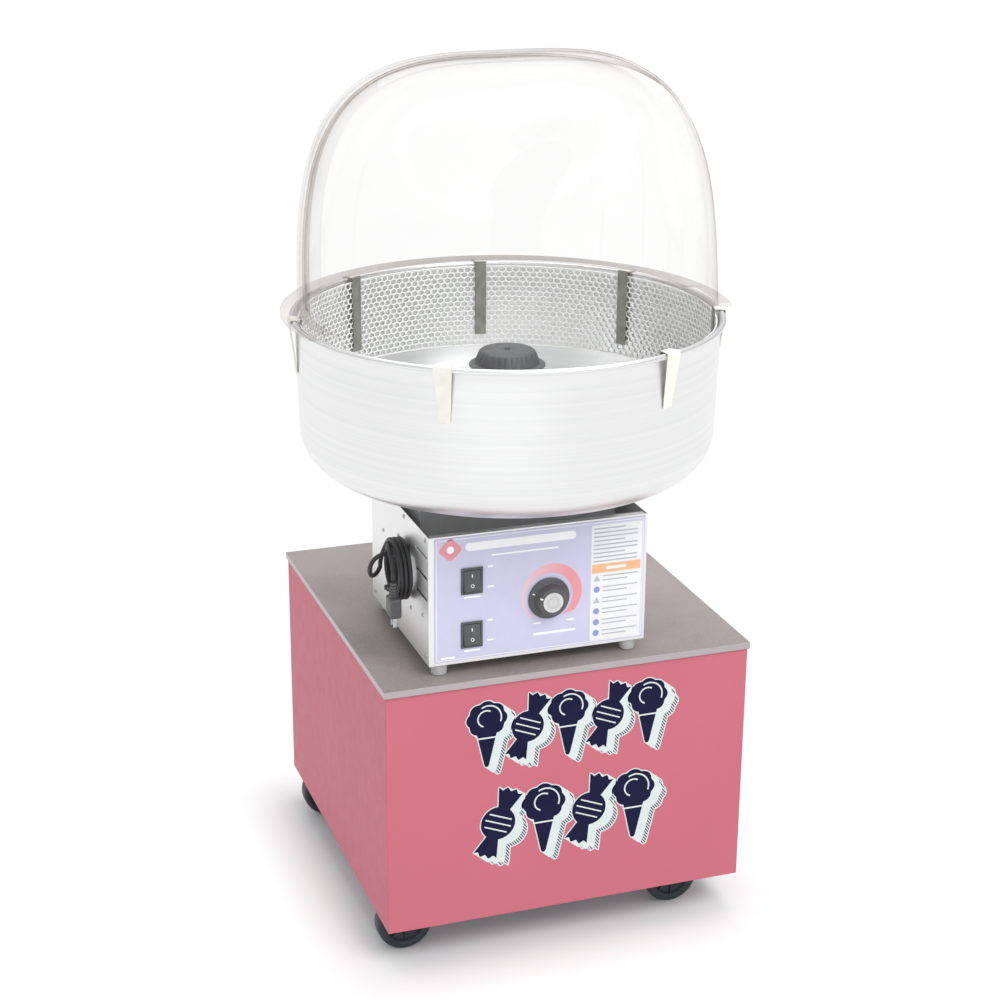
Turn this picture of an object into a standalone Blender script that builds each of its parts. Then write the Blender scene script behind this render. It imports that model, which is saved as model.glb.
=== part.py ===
"""Cotton candy machine on a wheeled cart: a sheet-metal cabinet with a spinning floss head, a spun
floss pan with net and clips, a clear half bubble, and a cart with a rear door and four casters.
Metres, +Z up. The front faces -Y and the floor is z = 0."""

import math

import bmesh
import bpy
from mathutils import Matrix, Vector

# ---- driving dimensions -------------------------------------------------------------------
GAP = 0.0003                      # air between pieces that touch
SHEET = 0.0012                    # cabinet and top sheet
CART_SHEET = 0.0015

CART_W = 0.600                    # stainless top, left to right
CART_D = 0.612                    # stainless top, front to back
CART_TOP_Z = 0.478
TOP_EDGE_H = 0.011                # folded edge of the top
TOP_OVERHANG = 0.003
PANEL_SET_BACK = 0.0004
SKIRT_Z = 0.065                   # lower edge of the cart's panels
HEM = 0.014                       # inward hem along that edge, between the casters
HEM_HALF_L = 0.150

WHEEL_R = 0.0445
WHEEL_W = 0.030
CASTER_TRAIL = 0.024              # axle behind the swivel axis
CASTER_X = 0.2295                 # as near the corners as the wheels can swivel inside the panels
CASTER_Y = 0.2355
CART_FLOOR_Z = 0.1105             # underside of the cart's floor, on the caster plates

DOOR_W = 0.500
DOOR_H = 0.330
DOOR_T = 0.012
DOOR_LAP = 0.012                  # how far the door overlaps its opening
DOOR_Z = 0.275                    # middle of the door
HANDLE_REACH = 0.025
HINGE_R = 0.0045
HINGE_PIN_R = 0.0020
HINGE_L = 0.060

MACHINE_DX = -0.047               # machine centre from the cart's centre
MACHINE_DY = -0.128
CAB_W = 0.350
CAB_D = 0.305
CAB_H = 0.207
FOOT_H = 0.020
DECK_DROP = 0.040                 # the deck lies this far below the cabinet's top edge
LOUVRE_Z = (0.603, 0.637, 0.670)

PAN_R = 0.330                     # over the rolled bead
BEAD_R = 0.0045
PAN_TOP_Z = 1.000
PAN_BOTTOM_Z = 0.761
PAN_FILLET = 0.065
PAN_WALL_R = 0.318                # wall at the fillet; the wall flares to meet the bead
PAN_T = 0.0015
PAN_HOLE_R = 0.075
PAN_STEPS = 64

BUBBLE_FLANGE_R = 0.343
BUBBLE_FLANGE_IN_R = 0.299
BUBBLE_FLANGE_FRONT_Y = -0.090    # the flange ends here, just ahead of the collar's feet
BUBBLE_T = 0.003
BUBBLE_TOP_Z = 1.386
SHELL_R = 0.303                   # the bubble's rear shell: half width, height, front plane, depth
SHELL_TOP_Z = 1.376
SHELL_Y = 0.030
SHELL_DEPTH = 0.275
# The wider collar round the opening, as arches from its step forward to its edge: half width,
# height of the top, y at the foot, y at the top.
COLLAR_ARCHES = ((0.3210, BUBBLE_TOP_Z, 0.020, 0.022),
                 (0.3190, 1.3840, -0.035, -0.006),
                 (0.3105, 1.3780, -0.085, -0.032))
NET_H = 0.136
NET_DROP = 0.006                  # from the rim down to the net's top edge
CLIP_T = 0.002
CLIP_W = 0.022
CLIP_OFF_BEAD = 0.0004
CLIP_OUTER_L = 0.083              # legs, measured down from the rim
CLIP_INNER_L = 0.122
CLIP_ANGLES = (-125.2, -64.4, -16.0, 33.9, 78.7, 121.2, 172.0)   # degrees from +X, about +Z

HEAD_R = 0.0585
HEAD_RIM_Z = 0.913
HEAD_TOP_Z = 0.939
SHAFT_R = 0.006

SWITCH_X = -0.108
SWITCH_Z = (0.631, 0.544)         # power above, heat below
SWITCH_W = 0.034
SWITCH_H = 0.042
ROCKER_TILT = math.radians(7)
KNOB_X = 0.015
KNOB_Z = 0.5875
KNOB_R = 0.033

CORD_D = 0.007
CORD_INNER_R = 0.0385             # centre line of the coil's inner and outer turns
CORD_OUTER_R = 0.0455
COIL_Y = -0.045
COIL_Z = 0.620
GLAND_Z = COIL_Z + 0.0262         # the coil hangs over the strain relief
COIL_OFF_WALL = 0.0055
STRAIN_RELIEF_L = 0.030           # from the cabinet's wall to its thin end

# ---- worked out from them -----------------------------------------------------------------
BODY_W = CART_W - 2 * TOP_OVERHANG
BODY_D = CART_D - 2 * TOP_OVERHANG
PANEL_TOP = CART_TOP_Z - SHEET - GAP
REAR_REACH = BODY_D / 2 + GAP + DOOR_T + HANDLE_REACH
CART_X = (BUBBLE_FLANGE_R - MACHINE_DX - CART_W / 2) / 2
CART_Y = (PAN_R - MACHINE_DY - REAR_REACH) / 2
CAB_Z = CART_TOP_Z + FOOT_H
CAB_TOP = CAB_Z + CAB_H
CAB_FRONT = -CAB_D / 2
DECK_Z = CAB_TOP - DECK_DROP
FLANGE_Z = PAN_TOP_Z + GAP + CLIP_T + GAP

for old in list(bpy.data.objects):
    bpy.data.objects.remove(old, do_unlink=True)

parts = bpy.data.collections.new("cotton_candy_machine")
cutters = bpy.data.collections.new("cutters")
cutters.hide_render = True
for collection in (parts, cutters):
    bpy.context.scene.collection.children.link(collection)


# ---- helpers --------------------------------------------------------------------------------
def material(name, color, roughness, metallic=0.0, alpha=1.0):
    mat = bpy.data.materials.new(name)
    mat.use_nodes = True
    mat.diffuse_color = (*color, alpha)
    shader = mat.node_tree.nodes["Principled BSDF"]
    shader.inputs["Base Color"].default_value = (*color, 1)
    shader.inputs["Roughness"].default_value = roughness
    shader.inputs["Metallic"].default_value = metallic
    shader.inputs["Alpha"].default_value = alpha
    return mat


PINK = ((0.74, 0.24, 0.31), 0.35)
STAINLESS = ((0.62, 0.61, 0.60), 0.30, 1.0)
TOP_STEEL = ((0.24, 0.20, 0.19), 0.40, 1.0)
ALUMINIUM = ((0.78, 0.77, 0.75), 0.30, 1.0)
ZINC = ((0.55, 0.56, 0.58), 0.35, 1.0)
BLACK = ((0.03, 0.03, 0.035), 0.45)
RUBBER = ((0.05, 0.05, 0.05), 0.80)
LAVENDER = ((0.45, 0.44, 0.72), 0.40)
CREAM = ((0.86, 0.84, 0.76), 0.50)
CLEAR = ((0.93, 0.92, 0.88), 0.05, 0.0, 0.2)


def empty(name, location):
    obj = bpy.data.objects.new(name, None)
    obj.location = location
    parts.objects.link(obj)
    return obj


def keep(obj, name, look, parent, at=(0, 0, 0)):
    """Names a finished piece, gives it its own material and hangs it on its parent."""
    obj.name = name
    obj.data.materials.clear()
    obj.data.materials.append(material(name, *look))
    obj.parent = parent
    obj.location = at
    return obj


def from_bmesh(bm, home=cutters):
    mesh = bpy.data.meshes.new("piece")
    bm.to_mesh(mesh)
    bm.free()
    obj = bpy.data.objects.new("piece", mesh)
    home.objects.link(obj)
    if home is cutters:
        obj.display_type = "WIRE"
    return obj


def box(low, high, home=cutters):
    """A block between two corners."""
    low, high = Vector(low), Vector(high)
    bm = bmesh.new()
    bmesh.ops.create_cube(bm, size=1.0)
    bmesh.ops.scale(bm, vec=high - low, verts=bm.verts)
    bmesh.ops.translate(bm, vec=(low + high) / 2, verts=bm.verts)
    return from_bmesh(bm, home)


def rod(radius, start, end, home=cutters, steps=24, end_radius=None):
    """A cylinder or cone from one point to another."""
    start, end = Vector(start), Vector(end)
    bm = bmesh.new()
    bmesh.ops.create_cone(bm, cap_ends=True, segments=steps, radius1=radius,
                          radius2=radius if end_radius is None else end_radius,
                          depth=(end - start).length)
    turn = Vector((0, 0, 1)).rotation_difference(end - start).to_matrix().to_4x4()
    bmesh.ops.transform(bm, matrix=Matrix.Translation((start + end) / 2) @ turn, verts=bm.verts)
    return from_bmesh(bm, home)


def combine(obj, other, operation):
    mod = obj.modifiers.new(operation.lower(), "BOOLEAN")
    mod.operation = operation
    mod.solver = "EXACT"
    mod.object = other
    other.parent = obj
    return obj


def cut(obj, *others):
    for other in others:
        combine(obj, other, "DIFFERENCE")
    return obj


def join(obj, *others):
    for other in others:
        combine(obj, other, "UNION")
    return obj


def turned(profile, steps=48, home=parts):
    """A closed (radius, height) outline, down its outer side first, turned about Z."""
    bm = bmesh.new()
    points = [bm.verts.new((radius, 0, height)) for radius, height in profile]
    for first, second in zip(points, points[1:] + points[:1]):
        bm.edges.new((first, second))
    obj = from_bmesh(bm, home)
    mod = obj.modifiers.new("turn", "SCREW")
    mod.steps = mod.render_steps = steps
    mod.use_merge_vertices = True
    mod.merge_threshold = 0.00001
    return obj


def prism(outline, thickness, home=parts):
    """A flat outline in X and Y, given a thickness about its own plane, as a mesh."""
    curve = bpy.data.curves.new("outline", "CURVE")
    curve.dimensions = "2D"
    curve.fill_mode = "BOTH"
    curve.extrude = thickness / 2
    spline = curve.splines.new("POLY")
    spline.points.add(len(outline) - 1)
    for point, (x, y) in zip(spline.points, outline):
        point.co = (x, y, 0, 1)
    spline.use_cyclic_u = True
    return curve_to_mesh(curve, home)


def curve_to_mesh(curve, home):
    source = bpy.data.objects.new("source", curve)
    parts.objects.link(source)
    evaluated = source.evaluated_get(bpy.context.evaluated_depsgraph_get())
    mesh = bpy.data.meshes.new_from_object(evaluated)
    bpy.data.objects.remove(source)
    bm = bmesh.new()
    bm.from_mesh(mesh)
    bmesh.ops.remove_doubles(bm, verts=bm.verts, dist=0.00001)
    bmesh.ops.recalc_face_normals(bm, faces=bm.faces)
    bpy.data.meshes.remove(mesh)
    return from_bmesh(bm, home)


def stand(obj, plane):
    """Turns a prism's own X, Y to the world's X, Z ("XZ") or Y, Z ("YZ")."""
    upright = Matrix.Rotation(math.radians(90), 4, "X")
    if plane == "YZ":
        upright = Matrix.Rotation(math.radians(90), 4, "Z") @ upright
    obj.data.transform(upright)
    return obj


def arc(center, radius, start, end, count):
    """Points round a centre, from one angle to another in degrees."""
    step = (end - start) / (count - 1)
    angles = [math.radians(start + step * index) for index in range(count)]
    return [(center[0] + radius * math.cos(a), center[1] + radius * math.sin(a)) for a in angles]


def tray(low, high, sheet, opening="+Z"):
    """A folded sheet tray, open upwards or downwards."""
    low, high = Vector(low), Vector(high)
    inner_low = low + Vector((sheet, sheet, sheet))
    inner_high = high - Vector((sheet, sheet, sheet))
    if opening == "+Z":
        inner_high.z = high.z + sheet
    else:
        inner_low.z = low.z - sheet
    return cut(box(low, high, parts), box(inner_low, inner_high))


# ---- cart -----------------------------------------------------------------------------------
def make_cart(cart):
    half_w, half_d, sheet = BODY_W / 2, BODY_D / 2, CART_SHEET
    front = box((-half_w, -half_d, SKIRT_Z), (half_w, -half_d + sheet, PANEL_TOP), parts)
    hem_back = -half_d + HEM
    join(front, box((-HEM_HALF_L, -half_d + sheet / 2, SKIRT_Z), (HEM_HALF_L, hem_back, SKIRT_Z + sheet)))
    # Under the top's folded edge the panel is set back a little.
    cut(front, box((-half_w - 0.01, -half_d - 0.01, CART_TOP_Z - TOP_EDGE_H - 0.001),
                   (half_w + 0.01, -half_d + PANEL_SET_BACK, PANEL_TOP + 0.01)))
    keep(front, "cart_front_panel", PINK, cart)

    for side, name in ((-1, "cart_left_panel"), (1, "cart_right_panel")):
        xs = sorted((side * half_w, side * (half_w - sheet)))
        hem_xs = sorted((side * (half_w - sheet / 2), side * (half_w - HEM)))
        end = half_d - sheet - GAP
        panel = box((xs[0], -end, SKIRT_Z), (xs[1], end, PANEL_TOP), parts)
        join(panel, box((hem_xs[0], -HEM_HALF_L, SKIRT_Z), (hem_xs[1], HEM_HALF_L, SKIRT_Z + sheet)))
        keep(panel, name, PINK, cart)

    rear = box((-half_w, half_d - sheet, SKIRT_Z), (half_w, half_d, PANEL_TOP), parts)
    open_w, open_h = DOOR_W / 2 - DOOR_LAP, DOOR_H / 2 - DOOR_LAP
    cut(rear, box((-open_w, half_d - 0.01, DOOR_Z - open_h), (open_w, half_d + 0.01, DOOR_Z + open_h)))
    keep(rear, "cart_rear_frame", PINK, cart)

    inset = sheet + GAP
    floor = tray((-half_w + inset, -half_d + inset, CART_FLOOR_Z),
                 (half_w - inset, half_d - inset, CART_FLOOR_Z + 0.020), sheet)
    keep(floor, "cart_floor", ZINC, cart)

    top = tray((-CART_W / 2, -CART_D / 2, CART_TOP_Z - TOP_EDGE_H),
               (CART_W / 2, CART_D / 2, CART_TOP_Z), SHEET, "-Z")
    keep(top, "cart_top", TOP_STEEL, cart)


def knuckle(low, high):
    barrel = rod(HINGE_R, (0, 0, low), (0, 0, high), steps=16)
    return cut(barrel, rod(HINGE_PIN_R * 1.06, (0, 0, low - 0.01), (0, 0, high + 0.01), steps=16))


def make_rear_door(cart):
    """The door hangs on two butt hinges; its origin is on their common axis."""
    axis = Vector((DOOR_W / 2 + HINGE_R + 0.001, BODY_D / 2 + GAP + HINGE_R + 0.0015, 0))
    hinge_axis = empty("door_axis", axis)
    hinge_axis.parent = cart
    back = BODY_D / 2 + GAP - axis.y
    left = -DOOR_W / 2 - axis.x
    right = DOOR_W / 2 - axis.x
    low, high = DOOR_Z - DOOR_H / 2, DOOR_Z + DOOR_H / 2
    door = box((left, back, low), (right, back + DOOR_T, high), parts)
    cut(door, box((left + SHEET, back - 0.01, low + SHEET),
                  (right - SHEET, back + DOOR_T - SHEET, high - SHEET)))

    third = HINGE_L / 3
    for name, z in (("door_hinge_lower", DOOR_Z - 0.10), ("door_hinge_upper", DOOR_Z + 0.10)):
        middle = knuckle(z - third / 2 + GAP, z + third / 2 - GAP)
        join(middle, box((right - SHEET / 2, -0.0015, z - third / 2 + GAP),
                         (-HINGE_PIN_R * 1.2, 0.0005, z + third / 2 - GAP)))
        join(door, middle)
        fixed = box((HINGE_PIN_R * 0.5, back, z - HINGE_L / 2),
                    (0.026, back + 0.0025, z + HINGE_L / 2), parts)
        cut(fixed, box((-0.01, -0.02, z - third / 2 - GAP), (HINGE_R + 0.001, 0.02, z + third / 2 + GAP)))
        for bottom in (z - HINGE_L / 2, z + third / 2 + GAP):
            join(fixed, rod(HINGE_R, (0, 0, bottom), (0, 0, bottom + third - GAP), steps=16))
        join(fixed, rod(HINGE_PIN_R, (0, 0, z - HINGE_L / 2), (0, 0, z + HINGE_L / 2), steps=16))
        keep(fixed, name, ZINC, hinge_axis)
    keep(door, "rear_door", PINK, hinge_axis)

    grip_y = back + DOOR_T + GAP
    handle = box((left + 0.030, grip_y, DOOR_Z - 0.060), (left + 0.042, grip_y + HANDLE_REACH - GAP,
                                                         DOOR_Z + 0.060), parts)
    cut(handle, box((left + 0.02, grip_y - 0.01, DOOR_Z - 0.045),
                    (left + 0.05, grip_y + HANDLE_REACH - 0.009, DOOR_Z + 0.045)))
    keep(handle, "door_handle", ZINC, hinge_axis)


def make_caster(cart, name, x, y):
    """Top plate with its ball race, a fork that swivels under it, and the wheel in the fork."""
    plate_bottom = CART_FLOOR_Z - GAP - 0.0025
    plate = box((-0.030, -0.030, plate_bottom), (0.030, 0.030, plate_bottom + 0.0025), parts)
    join(plate, rod(0.017, (0, 0, plate_bottom - 0.006), (0, 0, plate_bottom + 0.001)))
    keep(plate, "caster_plate_" + name, ZINC, cart, (x, y, 0))

    crown_top = plate_bottom - 0.006 - GAP
    leg_y = WHEEL_W / 2 + 0.0025
    leg_outline = [(-0.018, crown_top), (-CASTER_TRAIL - 0.009, WHEEL_R + 0.004)]
    leg_outline += arc((-CASTER_TRAIL, WHEEL_R), 0.010, 156, 340, 6)
    leg_outline += [(0.018, crown_top - 0.004), (0.018, crown_top)]
    fork = rod(0.021, (0, 0, crown_top - 0.003), (0, 0, crown_top), parts)
    for side in (-1, 1):
        leg = stand(prism(leg_outline, 0.0025, cutters), "XZ")
        leg.location.y = side * (leg_y + 0.00125)
        join(fork, leg)
    axle_y = leg_y + 0.005
    join(fork, rod(0.004, (-CASTER_TRAIL, -axle_y, WHEEL_R), (-CASTER_TRAIL, axle_y, WHEEL_R), steps=16))
    keep(fork, "caster_fork_" + name, ZINC, cart, (x, y, 0))

    half = WHEEL_W / 2
    tread = [(WHEEL_R - 0.004, half), (WHEEL_R, half - 0.005),
             (WHEEL_R, 0.005 - half), (WHEEL_R - 0.004, -half)]
    hub = [(0.030, -half), (0.026, 0.004 - half), (0.013, 0.004 - half),
           (0.011, -half - 0.001), (0.0042, -half - 0.001)]
    outline = tread + hub + [(radius, -height) for radius, height in reversed(hub)]
    wheel = turned(outline, 24)
    keep(wheel, "caster_wheel_" + name, BLACK, cart, (x - CASTER_TRAIL, y, WHEEL_R))
    wheel.rotation_euler.x = math.radians(90)


# ---- cabinet --------------------------------------------------------------------------------
def make_cabinet(machine):
    half_w, half_d, sheet = CAB_W / 2, CAB_D / 2, SHEET
    front = box((-half_w, CAB_FRONT, CAB_Z), (half_w, CAB_FRONT + sheet, CAB_TOP), parts)
    join(front, box((-half_w + 0.004, CAB_FRONT + sheet / 2, CAB_TOP - sheet),
                    (half_w - 0.004, CAB_FRONT + 0.012, CAB_TOP)))
    cut(front, rod(0.005, (KNOB_X, CAB_FRONT - 0.01, KNOB_Z), (KNOB_X, CAB_FRONT + 0.01, KNOB_Z)))
    cut(front, *[switch_hole(z) for z in SWITCH_Z])
    keep(front, "cabinet_front_panel", STAINLESS, machine)

    end = half_d - sheet - GAP
    for side, name in ((-1, "cabinet_left_panel"), (1, "cabinet_right_panel")):
        xs = sorted((side * half_w, side * (half_w - sheet)))
        panel = box((xs[0], -end, CAB_Z), (xs[1], end, CAB_TOP), parts)
        for z in LOUVRE_Z:
            cut(panel, box((xs[0] - 0.01, -0.145, z - 0.002), (xs[1] + 0.01, -0.088, z + 0.002)))
        if side < 0:
            cut(panel, rod(0.0085, (-half_w - 0.01, COIL_Y, GLAND_Z), (-half_w + 0.01, COIL_Y, GLAND_Z)))
        keep(panel, name, STAINLESS, machine)

    rear = box((-half_w, half_d - sheet, CAB_Z), (half_w, half_d, CAB_TOP), parts)
    for row in range(4):
        z = CAB_Z + 0.060 + 0.018 * row
        cut(rear, box((-0.060, half_d - 0.01, z), (0.060, half_d + 0.01, z + 0.005)))
    keep(rear, "cabinet_rear_panel", STAINLESS, machine)

    inset = sheet + GAP
    base = tray((-half_w + inset, -half_d + inset, CAB_Z),
                (half_w - inset, half_d - inset, CAB_Z + 0.015), sheet)
    keep(base, "cabinet_base", STAINLESS, machine)

    deck = box((-half_w + inset, -half_d + inset, DECK_Z - sheet),
               (half_w - inset, half_d - inset, DECK_Z), parts)
    cut(deck, rod(0.030, (0, 0, DECK_Z - 0.01), (0, 0, DECK_Z + 0.01), steps=32))
    keep(deck, "cabinet_deck", STAINLESS, machine)

    support = tray((-0.160, -0.060, DECK_Z + GAP), (0.160, 0.110, PAN_BOTTOM_Z - GAP), 0.002, "-Z")
    cut(support, rod(0.030, (0, 0, PAN_BOTTOM_Z - 0.01), (0, 0, PAN_BOTTOM_Z + 0.01), steps=32))
    keep(support, "pan_support", BLACK, machine)

    for name, x, y in (("fl", -1, -1), ("fr", 1, -1), ("rl", -1, 1), ("rr", 1, 1)):
        low, high = CART_TOP_Z + GAP, CAB_Z - GAP
        foot = rod(0.011, (0, 0, low), (0, 0, high), parts, end_radius=0.0135)
        keep(foot, "foot_" + name, RUBBER, machine, (x * (half_w - 0.021), y * (half_d - 0.018), 0))


def switch_hole(z, margin=0.0003):
    x, y = SWITCH_W / 2 - 0.002 + margin, SWITCH_H / 2 - 0.002 + margin
    return box((SWITCH_X - x, CAB_FRONT - 0.01, z - y), (SWITCH_X + x, CAB_FRONT + 0.01, z + y))


def make_overlay(machine):
    """The printed plate on the front, with holes for the two switches and the knob's shaft."""
    front = CAB_FRONT - GAP
    overlay = box((-0.166, front - 0.0008, CAB_Z + 0.005), (0.171, front, CAB_TOP - 0.003), parts)
    cut(overlay, rod(0.005, (KNOB_X, front - 0.01, KNOB_Z), (KNOB_X, front + 0.01, KNOB_Z)))
    cut(overlay, *[switch_hole(z) for z in SWITCH_Z])
    keep(overlay, "control_overlay", LAVENDER, machine)


def make_switch(machine, name, z):
    """A rocker switch: its frame goes through the panel, and the rocker tips in the frame's pocket."""
    face = CAB_FRONT - GAP - 0.0008 - GAP
    half_w, half_h = SWITCH_W / 2, SWITCH_H / 2
    frame = box((-half_w, -0.0025, -half_h), (half_w, 0, half_h), parts)
    join(frame, box((0.002 - half_w, -0.001, 0.002 - half_h), (half_w - 0.002, 0.026, half_h - 0.002)))
    cut(frame, box((0.0035 - half_w, -0.01, 0.0032 - half_h), (half_w - 0.0035, 0.010, half_h - 0.0032)))
    keep(frame, name + "_frame", BLACK, machine, (SWITCH_X, face, z))

    reach = half_h - 0.0045
    outline = [(-0.0032, 0), (-0.0050, reach), (0.0026, reach - 0.001), (0.0046, 0), (0.0026, 0.001 - reach),
               (-0.0050, -reach)]
    rocker = stand(prism(outline, SWITCH_W - 0.008), "YZ")
    keep(rocker, name + "_rocker", BLACK, machine, (SWITCH_X, face + 0.0005, z))
    rocker.rotation_euler.x = -ROCKER_TILT


def make_heat_control(machine):
    """The knob and its shaft turn in the heat control, which is fixed behind the panel."""
    face = CAB_FRONT - GAP - 0.0008 - GAP
    back = CAB_FRONT + SHEET + GAP
    control = rod(0.024, (0, back, 0), (0, back + 0.030, 0), parts, 32)
    cut(control, rod(0.0032, (0, back - 0.01, 0), (0, back + 0.012, 0)))
    keep(control, "heat_control", BLACK, machine, (KNOB_X, 0, KNOB_Z))

    # The turned outline's height becomes -Y, so it is the distance out of the panel.
    shaft_end = -(back + 0.011 - face)
    outline = [(0.0004, 0.0215), (0.0170, 0.0215), (0.0225, 0.0205), (0.0245, 0.0060), (0.0300, 0.0045),
               (KNOB_R, 0.0030), (KNOB_R, GAP), (0.0030, GAP), (0.0030, shaft_end), (0.0004, shaft_end)]
    knob = turned(outline, 32)
    keep(knob, "heat_knob", BLACK, machine, (KNOB_X, face, KNOB_Z))
    knob.rotation_euler.x = math.radians(90)


# ---- drive and floss head -------------------------------------------------------------------
def make_drive(machine):
    motor_top = DECK_Z - SHEET - GAP
    motor = rod(0.043, (0, 0, motor_top - 0.115), (0, 0, motor_top), parts, 40)
    cut(motor, rod(SHAFT_R * 1.03, (0, 0, motor_top - 0.025), (0, 0, motor_top + 0.01)))
    keep(motor, "motor", BLACK, machine)

    shaft = rod(SHAFT_R, (0, 0, motor_top - 0.022), (0, 0, HEAD_RIM_Z - 0.051 - GAP), parts)
    keep(shaft, "drive_shaft", ZINC, machine)

    ring_low, ring_high = DECK_Z + 0.030, DECK_Z + 0.062
    inner = SHAFT_R + GAP
    ring = turned([(0.0180, ring_high), (0.0180, ring_low), (inner, ring_low), (inner, ring_high)], 32)
    keep(ring, "slip_ring", ((0.72, 0.45, 0.25), 0.35, 1.0), machine)


def make_head(machine):
    """Base bowl on the shaft, the heater band standing in it, and the cap that closes it."""
    low, rim = HEAD_RIM_Z - 0.051, HEAD_RIM_Z - 0.004
    base = turned([(0.0500, rim), (0.0500, rim - 0.020), (0.0420, low + 0.010), (0.0140, low + 0.004),
                   (0.0140, low), (0.0004, low), (0.0004, low + 0.008), (0.0400, low + 0.013),
                   (0.0485, rim - 0.019), (0.0485, rim)], 32)
    keep(base, "head_base", ALUMINIUM, machine)

    band_low, band_high = rim - 0.016, rim + 0.0035
    band = turned([(0.0462, band_high), (0.0462, band_low), (0.0452, band_low), (0.0452, band_high)], 32)
    keep(band, "heater_band", ZINC, machine)

    cap = turned([(0.0004, HEAD_TOP_Z), (0.0360, HEAD_TOP_Z), (0.0410, HEAD_TOP_Z - 0.0012),
                  (0.0445, HEAD_TOP_Z - 0.0045), (0.0500, HEAD_RIM_Z + 0.0045), (HEAD_R, HEAD_RIM_Z + 0.0020),
                  (HEAD_R, HEAD_RIM_Z), (0.0004, HEAD_RIM_Z)], 32)
    keep(cap, "head_cap", BLACK, machine)


# ---- pan, net, clips and bubble ---------------------------------------------------------------
def wall_radius(z):
    """Outer radius of the pan's wall, which flares a little from the fillet up to the bead."""
    low = PAN_BOTTOM_Z + PAN_FILLET
    return PAN_WALL_R + 0.0045 * (z - low) / (PAN_TOP_Z - low)


def make_pan(machine):
    bead = (PAN_R - BEAD_R, PAN_TOP_Z - BEAD_R)
    corner_z = PAN_BOTTOM_Z + PAN_FILLET
    corner_r = PAN_WALL_R - PAN_FILLET
    floor_z = PAN_BOTTOM_Z + PAN_T
    under = PAN_TOP_Z - 0.0100
    outline = arc(bead, BEAD_R, 205, -105, 8)
    outline.append((wall_radius(under), under))
    outline += arc((corner_r, corner_z), PAN_FILLET, 0, -90, 6)
    outline += [(PAN_HOLE_R, PAN_BOTTOM_Z), (PAN_HOLE_R, PAN_BOTTOM_Z + 0.012),
                (PAN_HOLE_R + PAN_T, PAN_BOTTOM_Z + 0.012), (PAN_HOLE_R + PAN_T, floor_z)]
    outline += arc((corner_r, corner_z), PAN_FILLET - PAN_T, -90, 0, 6)
    keep(turned(outline, PAN_STEPS), "floss_pan", ALUMINIUM, machine)

    net_top = PAN_TOP_Z - NET_DROP
    outer = wall_radius(net_top - NET_H) - PAN_T - 0.0010
    inner = outer - 0.0010
    net_low = net_top - NET_H
    net = turned([(outer, net_top), (outer, net_low), (inner, net_low), (inner, net_top)], PAN_STEPS)
    keep(net, "floss_net", CREAM, machine)
    return inner


def make_clips(machine, net_inner):
    """Bent strips that hook over the bead and pinch the net against the pan's wall."""
    face = net_inner - 0.0008
    inner = face - CLIP_T
    outer = PAN_R + CLIP_OFF_BEAD
    top = PAN_TOP_Z + GAP
    tip_z = PAN_TOP_Z - CLIP_OUTER_L
    tip_r = wall_radius(tip_z) + 0.0008
    inner_tip_z = PAN_TOP_Z - CLIP_INNER_L
    below_bead = PAN_TOP_Z - 0.0068
    outline = [(inner, inner_tip_z), (face, inner_tip_z), (face, top - 0.0015), (face + 0.0015, top),
               (outer - 0.0012, top), (outer, top - 0.0015), (outer, below_bead), (tip_r, tip_z),
               (tip_r + CLIP_T, tip_z), (outer + CLIP_T, below_bead), (outer + CLIP_T, top - 0.0010),
               (outer + 0.0010, top + CLIP_T), (inner + 0.0012, top + CLIP_T), (inner, top)]
    for number, angle in enumerate(CLIP_ANGLES, 1):
        clip = stand(prism(outline, CLIP_W), "XZ")
        keep(clip, f"net_clip_{number}", CREAM, machine)
        clip.rotation_euler.z = math.radians(angle)


def make_bubble(machine):
    """A quarter of a sphere, swelled so that the arch has broad shoulders and the back stays round,
    with a wider collar round its opening, on a flat ring that lies round the pan's rim."""
    bm = bmesh.new()
    bmesh.ops.create_uvsphere(bm, u_segments=40, v_segments=24, radius=1)
    unwanted = [vert for vert in bm.verts if vert.co.y < -0.001 or vert.co.z < -0.001]
    bmesh.ops.delete(bm, geom=unwanted, context="VERTS")
    base = FLANGE_Z + BUBBLE_T / 2
    for vert in bm.verts:
        swell_vertex(vert, base)
    arch = [edge for edge in bm.edges if all(abs(vert.co.y - SHELL_Y) < 0.00001 for vert in edge.verts)]
    half_w, top = SHELL_R, SHELL_TOP_Z
    for new_half_w, new_top, foot_y, top_y in COLLAR_ARCHES:
        grown = bmesh.ops.extrude_edge_only(bm, edges=arch)["geom"]
        arch = [part for part in grown if isinstance(part, bmesh.types.BMEdge)]
        for vert in (part for part in grown if isinstance(part, bmesh.types.BMVert)):
            up = (vert.co.z - base) / (top - base)
            vert.co = (vert.co.x * new_half_w / half_w, foot_y + (top_y - foot_y) * up,
                       base + (new_top - base) * up)
        half_w, top = new_half_w, new_top
    shell = from_bmesh(bm, parts)
    thick = shell.modifiers.new("shell", "SOLIDIFY")
    thick.thickness = BUBBLE_T
    thick.offset = -1
    thick.use_even_offset = True
    cut(shell, box((-0.4, -0.4, FLANGE_Z - 0.02), (0.4, 0.4, base + 0.0005)))
    ring_top = FLANGE_Z + BUBBLE_T
    ring = turned([(BUBBLE_FLANGE_R, ring_top), (BUBBLE_FLANGE_R, FLANGE_Z),
                   (BUBBLE_FLANGE_IN_R, FLANGE_Z), (BUBBLE_FLANGE_IN_R, ring_top)], PAN_STEPS, cutters)
    cut(ring, box((-0.4, -0.4, FLANGE_Z - 0.02), (0.4, BUBBLE_FLANGE_FRONT_Y, ring_top + 0.02)))
    keep(join(shell, ring), "bubble", CLEAR, machine)


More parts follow.
